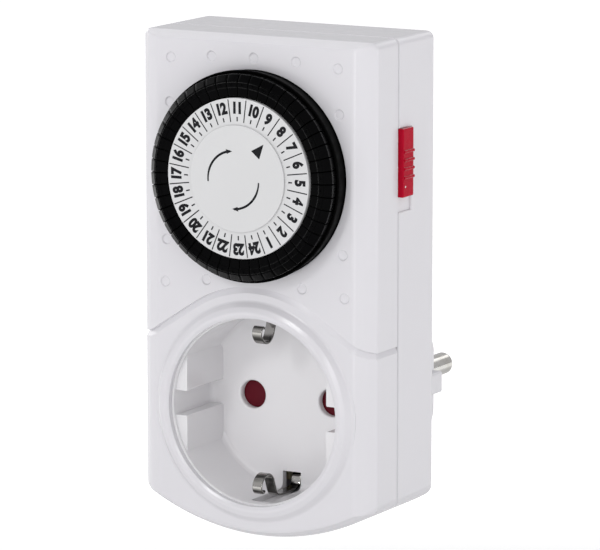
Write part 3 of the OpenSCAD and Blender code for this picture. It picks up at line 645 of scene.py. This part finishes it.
def rear_shell():
    """The rear cover, with a tongue inside the parting line and counterbored screw posts."""
    profile = rounded([(PARTING_BREAK, REAR_Y, 0), (0, REAR_Y + PARTING_BREAK, 0),
                       (0, BACK_Y, 1.5), (4, BACK_Y, 0)], 8, closed=False)
    shell = housing_loft("rear_shell", profile)
    cut(shell, housing_loft("cavity", [(WALL, REAR_Y - 1), (WALL, INNER_BACK_Y)]))
    tongue_in, tongue_foot, tongue_bore = WALL + 0.08, WALL - 0.5, WALL + 1.1
    tongue = housing_loft("tongue", [(tongue_in, PARTING_Y - 1.6), (tongue_in, REAR_Y),
                                     (tongue_foot, REAR_Y + 0.01), (tongue_foot, REAR_Y + 1)])
    cut(tongue,
        housing_loft("tongue_bore", [(tongue_bore, PARTING_Y - 2), (tongue_bore, REAR_Y + 2)]),
        *[rod("post_gap", at, 3.15, PARTING_Y - 2, PARTING_Y) for at in POSTS],
        box("slot_gap", (HALF_W - 5, PARTING_Y - 2, 39.7), (HALF_W + 1, REAR_Y + 2, 63)))
    add(shell, tongue, *[rod("post", at, 3.2, REAR_Y, INNER_BACK_Y + TINY) for at in POSTS])
    cut(shell, rod("spigot_hole", SOCKET, SPIGOT_R, INNER_BACK_Y - 1, BACK_Y + 1, 96),
        *slider_recess(),
        *[rod("screw_shaft", at, 1.5, REAR_Y - 2, BACK_Y + 1, 32) for at in POSTS],
        *[flared_back(at) for at in POSTS],
        *[box("earth_slot", (-EARTH_SLOT, INNER_BACK_Y - 1, z), (EARTH_SLOT, BACK_Y + 1, z + 1.7))
          for z in (17.2, -18.9)])
    return place_piece(shell, WHITE, "root", "white_plastic", "rear_cover", smooth=24)


def flared_back(at):
    """A counterbore for a screw head, with a rounded edge at the back face."""
    radius, lip = COUNTERBORE_R, COUNTERBORE_LIP
    profile = [(0, BACK_Y - 4), (radius, BACK_Y - 4)]
    for turn in map(radians, (0, 22.5, 45, 67.5, 90)):
        profile.append((radius + lip - lip * cos(turn), BACK_Y - lip + lip * sin(turn)))
    profile += [(3.2, BACK_Y + 1), (0, BACK_Y + 1)]
    return turned("counterbore", at, profile, segments=48)


def plug_shell():
    """The round plug body with its two flats, side ribs, earth notches and pin holes."""
    radius, flat, hollow = BODY_PLUG_HIGH.z, 16.5, 14.8
    body = turned("plug_shell", SOCKET, rounded(
        [(0, BACK_Y, 0), (radius, BACK_Y, 0), (radius, -1.05, 0.5), (radius - 1.05, 0, 0.5),
         (0, 0, 0)], 4), segments=128)
    past = radius + 1
    flats = rounded([(-flat, -past, 0), (flat, -past, 0), (flat, past, 0), (-flat, past, 0)])
    combine(body, [prism("flats", flats, BACK_Y - 1, 1)], "INTERSECT")
    soften(body, 0.5, 3, 35)
    rib = rounded([(x * 19, z * 2.3, 0.5) for x, z in ((-1, -1), (1, -1), (1, 1), (-1, 1))], 4)
    add(body, prism("ribs", rib, BACK_Y + 0.01, -1),
        rod("spigot", SOCKET, SPIGOT_R, BACK_Y - 2, BACK_Y + 1, 96))
    cut(body, rod("hollow", SOCKET, hollow, BACK_Y - 3, -2.5, 96),
        *[rod("pin_hole", (sx * PIN_X, 0), 2.43, -4, 1, 40) for sx in SIDES],
        *[box("earth_notch", (-EARTH_SLOT, BACK_Y - 3, min(s * 17.2, s * 20)),
              (EARTH_SLOT, -3, max(s * 17.2, s * 20))) for s in SIDES])
    return place_piece(body, WHITE, "root", "white_plastic", "plug_body", smooth=24)


def screws():
    """Four screw heads with a cross recess, deep in their counterbores."""
    parts = []
    back = box_mm("housing_screws")[1].y
    head_y = back - 1.9
    profile = rounded([(0, -45, 0), (0.3, -45, 0), (1.1, -43.6, 0), (1.1, head_y, 0),
                       (2.5, head_y, 0), (2.5, back - 0.2, 0.5), (1.6, back, 0.6),
                       (0, back, 0)], 4)
    for at in POSTS:
        head = turned("head", at, profile, segments=40)
        x, z = at
        bars = [box("bar", (x - a, back - 0.9, z - b), (x + a, back + 1, z + b))
                for a, b in ((1.5, 0.3), (0.3, 1.5))]
        parts.append(cut(head, *bars))
    return place_piece(joined("cover_screws", parts), STEEL, "root", "steel", "housing_screws")


LABEL_Z = 46               # middle of the label
FRAME_T = 0.03             # thickness of the frame printed on it


def label():
    """A blank label with rounded corners and a thin printed frame."""
    low, high = box_mm("rating_label")
    corners = [(low.x, low.z), (high.x, low.z), (high.x, high.z), (low.x, high.z)]
    front = high.y - FRAME_T
    film = prism("back_label", rounded([(x, z, 1.5) for x, z in corners], 6), low.y, front)
    place_piece(film, LABEL, "root", "label_film", "rating_label")
    outer = rounded([(x * 0.94, LABEL_Z + (z - LABEL_Z) * 0.92, 1) for x, z in corners], 6)
    inner = rounded([(x * 0.925, LABEL_Z + (z - LABEL_Z) * 0.9, 0.9) for x, z in corners], 6)
    n = len(outer)
    points = [(x, y, z) for y in (front, high.y) for x, z in outer + inner]
    faces = []
    for i in range(n):
        j = (i + 1) % n
        faces += [(i, j, n + j, n + i), (2 * n + i, 2 * n + j, 3 * n + j, 3 * n + i),
                  (i, j, 2 * n + j, 2 * n + i), (n + i, n + j, 3 * n + j, 3 * n + i)]
    place_piece(mesh_object("label_frame", points, faces), INK, "root", "label_film", smooth=0)


# ---- Socket ----

WELL_R = 19.6
FLOOR_Y = -33
FLOOR_BACK_Y = FLOOR_Y + 1.6
KEY_X = 16.7               # inner faces of the keyed blocks
KEY_Z = (2.65, 12)         # their ends above and below the middle
PIN_HOLE_R = 3
SLOT_OUT_Z = 20.7          # outer end of the slots for the earth clips


def key_block(sx, sz):
    """One quarter of the keyed blocks at the sides of the well, cut to the well's round wall."""
    near, far = sz * KEY_Z[0], sz * KEY_Z[1]
    corners = [(KEY_X, near, 0.3), (KEY_X, far, 0.3), (INSERT_R - 0.5, far, 0),
               (INSERT_R - 0.5, near, 0)]
    outline = rounded([(sx * x, z, r) for x, z, r in corners], 4)
    quarter = prism("block", outline, -48.1, FLOOR_Y + 0.5)
    inside = rod("inside", SOCKET, WELL_R + 0.8, -49, FLOOR_Y + 1, 160)
    combine(quarter, [inside], "INTERSECT")
    return soften(quarter, 0.22, 3, 50)


def socket_well():
    """The white insert: a round well with keyed blocks, pin holes and slots for the clips."""
    front, back = INSERT_LOW.y, INSERT_HIGH.y
    profile = rounded([(0, FLOOR_Y, 0), (WELL_R, FLOOR_Y, 1.3), (WELL_R, front, 0.25),
                       (INSERT_R, front, 0), (INSERT_R, FLOOR_BACK_Y, 0.5), (1.5, FLOOR_BACK_Y, 0),
                       (1.5, back, 0.2), (0, back, 0)], 6)
    well = turned("socket_well", SOCKET, profile, segments=160)
    add(well, *[key_block(sx, sz) for sx in SIDES for sz in SIDES])
    holes = [flared_hole("pin_hole", (sx * PIN_X, 0), PIN_HOLE_R, FLOOR_Y, FLOOR_BACK_Y + 1,
                         0.45, 64) for sx in SIDES]
    slots = []
    for s in SIDES:
        for name, y0, y1, z0 in (("floor_slot", FLOOR_Y - 1, FLOOR_BACK_Y + 1, 15.75),
                                 ("wall_slot", -46.6, FLOOR_Y + TINY, 18)):
            ends = sorted((s * z0, s * SLOT_OUT_Z))
            slots.append(box(name, (-EARTH_SLOT, y0, ends[0]), (EARTH_SLOT, y1, ends[1])))
    cut(well, *holes, *slots)
    return place_piece(well, INSERT_WHITE, "root", "white_plastic", "socket_insert", smooth=24)


def shutter():
    """A hub with two wings that lie behind the pin holes."""
    low, high = box_mm("socket_shutter")
    hub = turned("pin_shutter", SOCKET, rounded(
        [(1.55, low.y, 0.1), (5.5, low.y, 0.3), (5.5, high.y, 0.3), (1.55, high.y, 0.1)], 3),
        segments=64)
    wing_profile = [(4, low.y), (13.7, low.y), (13.7, high.y), (4, high.y)]
    wings = [soften(turned("wing", SOCKET, wing_profile, start, 42, 16), 0.25, 3)
             for start in (-21, 159)]
    add(hub, *wings)
    # The shutter's dark red holds painted shade from deep in the pin holes
    return place_piece(hub, SHUTTER_RED_PAINTED_SHADE, "shutter", "maroon_plastic", "socket_shutter")


def smooth_path(points, steps):
    """Catmull-Rom curve through points of a plane."""
    out = []
    last = len(points) - 1
    for i in range(last):
        a, b = Vector(points[max(i - 1, 0)]), Vector(points[i])
        c, d = Vector(points[i + 1]), Vector(points[min(i + 2, last)])
        for k in range(steps):
            t = k / steps
            out.append(0.5 * (2 * b + (c - a) * t + (2 * a - 5 * b + 4 * c - d) * t * t
                              + (3 * b - a - 3 * c + d) * t ** 3))
    return out + [Vector(points[last])]


def strip(name, path, w, thickness):
    """A metal strip of constant thickness and half width w that follows a path in (y, z)."""
    rings = []
    last = len(path) - 1
    for i, at in enumerate(path):
        run = (path[min(i + 1, last)] - path[max(i - 1, 0)]).normalized()
        side = Vector((-run.y, run.x)) * thickness / 2
        rings.append([(-w, *(at + side)), (w, *(at + side)), (w, *(at - side)), (-w, *(at - side))])
    return lofted(name, rings)


STRAP_Y = (-24.6, -23.8)   # the strap that joins the two clips behind the well
STRAP_END_Z = 18.5
CLIP_PATH = [(STRAP_Y[0], 18.3), (-28.2, 18.3), (-29, 17), (-30.1, 16.6), (-30.9, 17.3),
             (-31.2, 18.7), (-32.6, 19.3), (-35, 19.3), (-39.4, 19.3), (-41.1, 18.6), (-42, 16.8),
             (-42.8, 15.1), (-44.3, 14.1), (-46.1, 14.3), (-47.4, 15.5), (-47.6, 16.8),
             (-46.9, 17.6), (-46.1, 17.3)]
PLUG_EARTH_PATH = [(STRAP_Y[1], 17.7), (-14, 17.7), (-11, 18.15), (-7, 18.15), (-4, 17.7),
                   (-3.3, 17.7)]
STRIP_T = 0.5              # thickness of both strips


def earth_clips():
    """The earth strap: a sprung clip at the top and the bottom of the well, joined behind it."""
    parts = []
    for s in SIDES:
        path = smooth_path([(y, s * z) for y, z in CLIP_PATH], 5)
        parts.append(soften(strip("clip", path, EARTH_W, STRIP_T), 0.1, 2, 50))
    strap = box("bar", (-EARTH_W, STRAP_Y[0], -STRAP_END_Z), (EARTH_W, STRAP_Y[1], STRAP_END_Z))
    parts.append(soften(strap, 0.12))
    base = parts[0]
    base.name = "earth_strap"
    add(base, *parts[1:])
    # The clips' nickel carries a painted reflection
    return place_piece(base, CLIP_NICKEL_PAINTED_REFLECTION, "root", "nickel", "earth_clips")


def plug_earth():
    """The plug's own earth contacts, in the notches at the top and the bottom of its body."""
    parts = []
    for s in SIDES:
        path = smooth_path([(y, s * z) for y, z in PLUG_EARTH_PATH], 6)
        parts.append(soften(strip("contact", path, EARTH_W, STRIP_T), 0.12, 2, 50))
    strips = joined("plug_earth_strips", parts)
    return place_piece(strips, NICKEL, "root", "nickel", "plug_earth_contacts")


def pins():
    """Two solid pins with rounded tips and a collar inside the plug body."""
    low, high = box_mm("plug_pins")
    collar_r, tip, pin_r = high.x - PIN_X, high.y, 2.4
    profile = rounded([(0, low.y, 0), (pin_r, low.y, 0.2), (pin_r, -5, 0), (collar_r, -5, 0.2),
                       (collar_r, -2.5, 0), (pin_r, -2.5, 0), (pin_r, tip - 1.3, 1.2),
                       (1.25, tip, 0.9), (0, tip, 0)], 7)
    parts = [turned("pin", (sx * PIN_X, 0), profile, segments=72) for sx in SIDES]
    return place_piece(joined("round_pins", parts), NICKEL, "root", "nickel", "plug_pins")


# ---- Dial ----

HOUR_5 = 0.5               # direction of hour 5 from +X, counter-clockwise seen from the front
HOURS = 24
PITCH = 360 / (2 * HOURS)
TAPPET_Y = TAPPET_LOW.y
TAPPET_BACK = TAPPET_HIGH.y
HEAD_BACK = -51.2
HUB_R = 2.55               # bore of the carrier, around the dial's post
WEB_Y = -54.5              # front of the carrier, under the printed ring


def hour_angle(hour):
    """Direction of an hour's number on the dial, in degrees."""
    return HOUR_5 + 360 / HOURS * (hour - 5)


def carrier():
    """The black ring that carries the tappets, with a window for each stem."""
    back = DIAL_HIGH.y
    lip_r, lip_y = DIAL_R - 0.05, -52.85
    profile = rounded([(HUB_R, WEB_Y, 0), (16.6, WEB_Y, 0.1), (16.8, -54.3, 0.1), (16.8, -48.3, 0),
                       (21.65, -48.3, 0), (21.65, -52.6, 0.05), (21.75, lip_y, 0.12),
                       (lip_r, lip_y, 0.3), (lip_r, -52.4, 0.2), (SKIRT_R, FACE_Y - 0.1, 0.5),
                       (SKIRT_R, -46.5, 0.2), (15.9, -46.5, 0), (15.9, -53.3, 0), (5, -53.3, 0),
                       (5, back, 0), (HUB_R, back, 0)], 3)
    ring = turned("dial_carrier", DIAL, profile, segments=192)
    window = [(18.1, -49), (20.7, -49), (20.7, -46), (18.1, -46)]
    first = hour_angle(1)
    windows = [turned("window", DIAL, window, first + (i - 0.5) * PITCH - 2.85, 5.7, 4)
               for i in range(2 * HOURS)]
    cut(ring, joined("windows", windows))
    return place_piece(ring, SKIRT_BLACK, "dial", "black_plastic", "dial_ring", smooth=28)


def tappet(angle):
    """One half-hour tappet: a stepped, chamfered head on a stem."""
    y = TAPPET_Y
    head = rounded([(17, y + 0.32, 0.1), (18.7, y + 0.26, 0.1), (18.95, y + 0.04, 0.12),
                    (19.85, y, 0.12), (20.0, y + 0.26, 0.04), (20.2, y + 0.2, 0.08),
                    (21.5, -54.25, 0.12), (21.52, HEAD_BACK, 0), (17, HEAD_BACK, 0)], 3)
    top = turned("head", DIAL, head, angle - 3.42, 6.84, 6)
    soften(top, 0.09, 2, 50)
    neck_y, pocket_y = HEAD_BACK - 0.3, y - 1
    stem = turned("stem", DIAL, [(18.2, neck_y), (20.6, neck_y), (20.6, TAPPET_BACK),
                                 (18.2, TAPPET_BACK)], angle - 2.55, 5.1, 4)
    pocket = turned("pocket", DIAL, [(19.25, pocket_y), (19.8, pocket_y), (19.8, y + 0.16),
                                     (19.25, y + 0.16)], angle - 0.9, 1.8, 3)
    add(top, stem)
    cut(top, pocket)
    return top


def tappets():
    """Two tappets for each hour, riding on that hour's body."""
    for hour in range(1, HOURS + 1):
        pair = [tappet(hour_angle(hour) + s * PITCH / 2) for s in (-1, 1)]
        place_piece(joined(f"tappets_{hour:02d}_pair", pair), BLACK, f"tappets_{hour:02d}",
                    "black_plastic", f"tappet_hour_{hour:02d}", smooth=28)


PRINT_T = 0.015            # thickness of printed ink
DIGIT_CAP = 0.73           # height of a digit of the built-in font at size 1
DIGIT_NARROW = 0.86        # digits are narrower than the font draws them


def flat_print(name, outline, front):
    """A thin layer of ink on a surface at a given y, from an outline about the dial's axis."""
    placed = [(DIAL[0] + x, DIAL[1] + z) for x, z in outline]
    return prism(name, placed, front - PRINT_T, front + TINY)


def turned_outline(outline, angle):
    """An outline turned about its origin by an angle in degrees."""
    spin = Matrix.Rotation(radians(angle), 2)
    return [tuple(spin @ Vector(p)) for p in outline]


def digits(text, height, angle, radius, front):
    """A number whose top points away from the dial's axis."""
    curve = bpy.data.curves.new("digits", "FONT")
    curve.body = text
    curve.align_x, curve.align_y = "CENTER", "CENTER"
    curve.size = 1.0
    curve.offset = 0.06
    curve.extrude = PRINT_T
    curve.resolution_u = 4
    curve.space_character = 0.92
    holder = new_object("digits", curve)
    graph = bpy.context.evaluated_depsgraph_get()
    mesh = bpy.data.meshes.new_from_object(holder.evaluated_get(graph), depsgraph=graph)
    bpy.data.objects.remove(holder)
    grow = height / DIGIT_CAP
    middle = Vector((cos(radians(angle)), 0, sin(radians(angle))))
    stand = (Matrix.Translation((Vector((DIAL[0], front, DIAL[1])) + middle * radius) * MM)
             @ Matrix.Rotation(radians(90 - angle), 4, "Y")
             @ Matrix.Rotation(radians(90), 4, "X")
             @ Matrix.Diagonal((grow * DIGIT_NARROW * MM, grow * MM, MM, 1)))
    mesh.transform(stand)
    return new_object("digits", mesh)


def hour_scale():
    """The printed ring: a number for each hour, lines between hours and ticks at half hours."""
    front, back = SCALE_LOW.y, SCALE_HIGH.y
    profile = rounded([(10.6, back, 0), (10.6, front, 0.1), (SCALE_R, front, 0.12),
                       (SCALE_R, back, 0)], 3)
    ring = turned("hour_ring", DIAL, profile, segments=160)
    place_piece(ring, PAPER_WHITE, "dial", "white_plastic", "scale_ring")
    marks = []
    for hour in range(1, HOURS + 1):
        angle = hour_angle(hour)
        marks.append(digits(str(hour), 2.3, angle, 14.55, front))
        for turn, inner, outer, half in ((PITCH, 11.75, 16.45, 0.115), (0, 11.9, 12.8, 0.14)):
            line = [(inner, -half), (outer, -half), (outer, half), (inner, half)]
            marks.append(flat_print("line", turned_outline(line, angle + turn), front))
    place_piece(joined("hour_print", marks), INK, "dial", "white_plastic", smooth=0)


def curved_arrow(start, end, front):
    """A thin clockwise arc about a point just off the dial's axis, with a small head."""
    middle, radius, steps = Vector((-0.8, -0.3)), 6.0, 28
    outer, inner = [], []
    for k in range(steps + 1):
        half = 0.15 + 0.09 * min(1, 3 * k / steps)
        t = radians(start + (end - start) * k / steps)
        ray = Vector((cos(t), sin(t)))
        outer.append(tuple(middle + ray * (radius + half)))
        inner.append(tuple(middle + ray * (radius - half)))
    line = flat_print("arrow_line", outer + inner[::-1], front)
    tip, foot = radians(end - 4.5), radians(end + 8.5)
    ray = Vector((cos(foot), sin(foot)))
    head = [tuple(middle + Vector((cos(tip), sin(tip))) * radius),
            tuple(middle + ray * (radius + 0.55)), tuple(middle + ray * (radius - 0.45))]
    return [line, flat_print("arrow_head", head, front - 0.002)]


def centre():
    """The fixed centre disc with its pointer and the two arrows that show which way to turn."""
    front, back = DISC_LOW.y, DISC_HIGH.y
    face = front + PRINT_T + 0.01
    profile = rounded([(0, face, 0), (DISC_R, face, 0.2), (DISC_R, -55.62, 0.1), (10.4, -55.62, 0),
                       (10.4, -54.7, 0), (1.2, -54.7, 0), (1.2, back, 0), (0, back, 0)], 5)
    disc = turned("centre_plate", DIAL, profile, segments=144)
    place_piece(disc, PAPER_WHITE, "root", "white_plastic", "centre_disc")
    triangle = turned_outline([(9.9, 0), (6.85, 1.25), (6.85, -1.25)], 50)
    pointer = flat_print("pointer", triangle, face)
    arrows = curved_arrow(186, 97, face) + curved_arrow(-1, -88, face)
    place_piece(joined("centre_print", [pointer] + arrows), INK, "root", "white_plastic", smooth=0)


# ---- Override slider ----

RIDGE_Z = 52.5             # middle of the four ridges
RIDGE_PITCH = 1.8


def slider():
    """The red finger piece with four thin ridges, on its carrier behind the wall."""
    z0, z1 = PAD_Z
    y0, y1 = PARTING_Y + 0.12, -32.7
    face_x = SLIDER_HIGH.x - 0.3
    crest_x, root_x = face_x + 0.29, face_x - 0.2
    pad = box("slider_finger", (HALF_W - RECESS_D + 0.08, y0, z0), (face_x, y1, z1))
    soften(pad, 0.25, 3)
    ridges = []
    for k in (-1.5, -0.5, 0.5, 1.5):
        z = RIDGE_Z + k * RIDGE_PITCH
        outline = rounded([(root_x, z - 0.42, 0), (crest_x, z - 0.24, 0.16),
                           (crest_x, z + 0.24, 0.16), (root_x, z + 0.42, 0)], 3)
        ridges.append(prism("ridge", outline, y0 + 0.3, y1 - 0.1))
    x_in = HALF_W - WALL
    wedge = [(-39.1, 52.6), (-38, 52.6), (-36.5, 55.1), (-36.5, 57.6), (-39.1, 57.6)]
    parts = [box("stem", (x_in - 0.1 - TINY, -35.1, 48.5), (HALF_W - RECESS_D + 0.1, -34.3, 57.6)),
             box("flange", (x_in - 1.5, REAR_Y + 0.2, 44.4), (x_in - 0.1, -28.3, 60.5)),
             box("arm", (x_in - 3.5, -39.1, 55.2), (x_in - 1.5 + TINY, -30, 57.6)),
             box("reach", (14, -39.1, 55.2), (x_in - 3.5 + TINY, -37.7, 57.6)),
             prism("wedge", wedge, 14, 16, "x")]
    add(pad, *ridges, *parts)
    place_piece(pad, CRIMSON, "slider", "crimson_plastic", "override_slider", smooth=30)
    # A small white dot on the finger piece: partly a mark, partly a painted highlight
    dot = rod("dot", (0, 0), 0.22, 0, 0.03, 20)
    dot.data.transform(Matrix.Rotation(radians(-90), 4, "Z"))
    dot.data.transform(Matrix.Translation(Vector((face_x - 0.005, -36.3, 47.9)) * MM))
    place_piece(dot, WHITE_MARK_HIGHLIGHT, "slider", "crimson_plastic", smooth=0)


# ---- Carried-over CAD nodes ----

CARRIED = {
    AMBER: ("contact_holder", "mechanism_plate", "centre_post", "switch_lever", "reduction_gear_b"),
    BRASS: ("socket_contacts", "live_busbar", "load_busbar", "neutral_busbar", "moving_contact",
            "motor_pinion"),
    STEEL: ("shutter_spring", "pivot_pins", "detent_spring", "dial_click_spring", "plate_screws",
            "motor_can"),
    GEAR_WHITE: ("dial_gear", "reduction_gear_a"),
    COPPER: ("motor_coil",),
    FERRITE: ("motor_rotor",),
    SHEATH: ("motor_leads",),
}


def finish_carried():
    """Gives the CAD nodes that stay as they are their materials."""
    for material, names in CARRIED.items():
        for name in names:
            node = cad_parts[name]
            node.data.materials.clear()
            node.data.materials.append(material)


# ---- Studio ----

CAMERA_YAW = radians(29.3816)
CAMERA_PITCH = radians(9.9544)
CAMERA_DISTANCE = 981.243
CAMERA_AIM = (0, -30.5, 28)
CAMERA_SHIFT = (0.513, -1.841)          # sideways and upwards
CAMERA_LENS = 279.52

FLOOR_HALF, FLOOR_Z = 8.0, -0.16        # metres
FLOOR_GLOW = (0.35, 0.7, 0.03, 0.64)    # from and to this far out, in metres, and how bright
SKY_GLOW = (0.1, 0.5, 0.54, 0.58)       # from and to this height, and how bright
SKY_SEEN = 1.02                         # how bright the sky is behind the object

LIGHT_AIM = (0, -0.03, 0.025)
LIGHTS = (                              # name, place, size, power
    ("key", (-0.12, -0.86, 0.48), (0.16, 0.16), 1.2),
    ("fill", (0.3, -0.88, 0.3), (0.3, 0.3), 0.65),
    ("left", (-0.9, 0.35, 0.28), (0.5, 0.5), 1.3),
    ("front", (0.19, -0.93, 0.06), (0.05, 0.42), 0.55),
    ("right", (0.93, 0.13, 0.06), (0.05, 0.42), 1.1),
    ("rear", (0.2, 0.85, 0.6), (0.5, 0.3), 0.5),
    ("top", (-0.4, 0.15, 0.9), (0.8, 0.8), 1.8),
)


def camera():
    """A long lens from the right and a little above, as the object is usually pictured."""
    yaw, pitch = CAMERA_YAW, CAMERA_PITCH
    ahead = Vector((-sin(yaw) * cos(pitch), cos(yaw) * cos(pitch),
                    -sin(pitch)))
    right = Vector((cos(yaw), sin(yaw), 0))
    up = right.cross(ahead)
    place = (Vector(CAMERA_AIM) - ahead * CAMERA_DISTANCE + right * CAMERA_SHIFT[0]
             + up * CAMERA_SHIFT[1])
    data = bpy.data.cameras.new("camera")
    data.lens = CAMERA_LENS
    data.sensor_width = 36
    data.clip_end = 100
    eye = new_object("camera", data)
    turn = Matrix((right, up, -ahead)).transposed().to_4x4()
    eye.matrix_world = Matrix.Translation(place * MM) @ turn
    bpy.context.scene.camera = eye


def area_light(name, place, size, power):
    """A soft rectangular lamp turned towards the object. Places and sizes are in metres."""
    data = bpy.data.lights.new(name, "AREA")
    data.shape = "RECTANGLE"
    data.size, data.size_y = size
    data.energy = power
    lamp = new_object(name, data)
    lamp.location = place
    lamp.rotation_euler = (Vector(LIGHT_AIM) - Vector(place)).to_track_quat("-Z", "Y").to_euler()


def sky():
    """A soft surround that lights the object, plain white where the camera sees it."""
    world = bpy.data.worlds.new("studio")
    world.use_nodes = True
    background = world.node_tree.nodes["Background"]
    preset(background, {"Color": (0.985, 0.985, 1.0, 1)})
    nodes, links = world.node_tree.nodes, world.node_tree.links
    height = nodes.new("ShaderNodeSeparateXYZ")
    rise = map_range(nodes, SKY_GLOW, "SMOOTHSTEP")
    links.new(nodes.new("ShaderNodeTexCoord").outputs["Generated"], height.inputs["Vector"])
    links.new(height.outputs["Z"], rise.inputs["Value"])
    seen = nodes.new("ShaderNodeMix")
    links.new(nodes.new("ShaderNodeLightPath").outputs["Is Camera Ray"], seen.inputs["Factor"])
    links.new(rise.outputs["Result"], seen.inputs["A"])
    preset(seen, {"B": SKY_SEEN})
    links.new(seen.outputs["Result"], background.inputs["Strength"])
    bpy.context.scene.world = world


def ground():
    """A plain pale floor that brightens into the white surround away from the object."""
    half, z = FLOOR_HALF, FLOOR_Z
    mesh = bpy.data.meshes.new("floor")
    mesh.from_pydata([(-half, -half, z), (half, -half, z), (half, half, z), (-half, half, z)],
                     [], [(0, 1, 2, 3)])
    floor = new_object("floor", mesh)
    material, tree, shader, place = new_material("pale_floor")
    preset(shader, {"Base Color": (0.74, 0.74, 0.74, 1), "Roughness": 0.9,
                    "Specular IOR Level": 0.1, "Emission Color": (1, 1, 1, 1)})
    away = tree.nodes.new("ShaderNodeVectorMath")
    away.operation = "LENGTH"
    glow = map_range(tree.nodes, FLOOR_GLOW, "SMOOTHSTEP")
    tree.links.new(place, away.inputs[0])
    tree.links.new(away.outputs["Value"], glow.inputs["Value"])
    tree.links.new(glow.outputs["Result"], shader.inputs["Emission Strength"])
    mesh.materials.append(material)


def studio():
    """Surround, floor and lamps."""
    bpy.context.scene.view_settings.view_transform = "Standard"
    sky()
    ground()
    for light in LIGHTS:
        area_light(*light)


# ---- Build ----

camera()
studio()
front_shell()
rear_shell()
plug_shell()
screws()
label()
socket_well()
shutter()
earth_clips()
plug_earth()
pins()
carrier()
tappets()
hour_scale()
centre()
slider()
finish_carried()
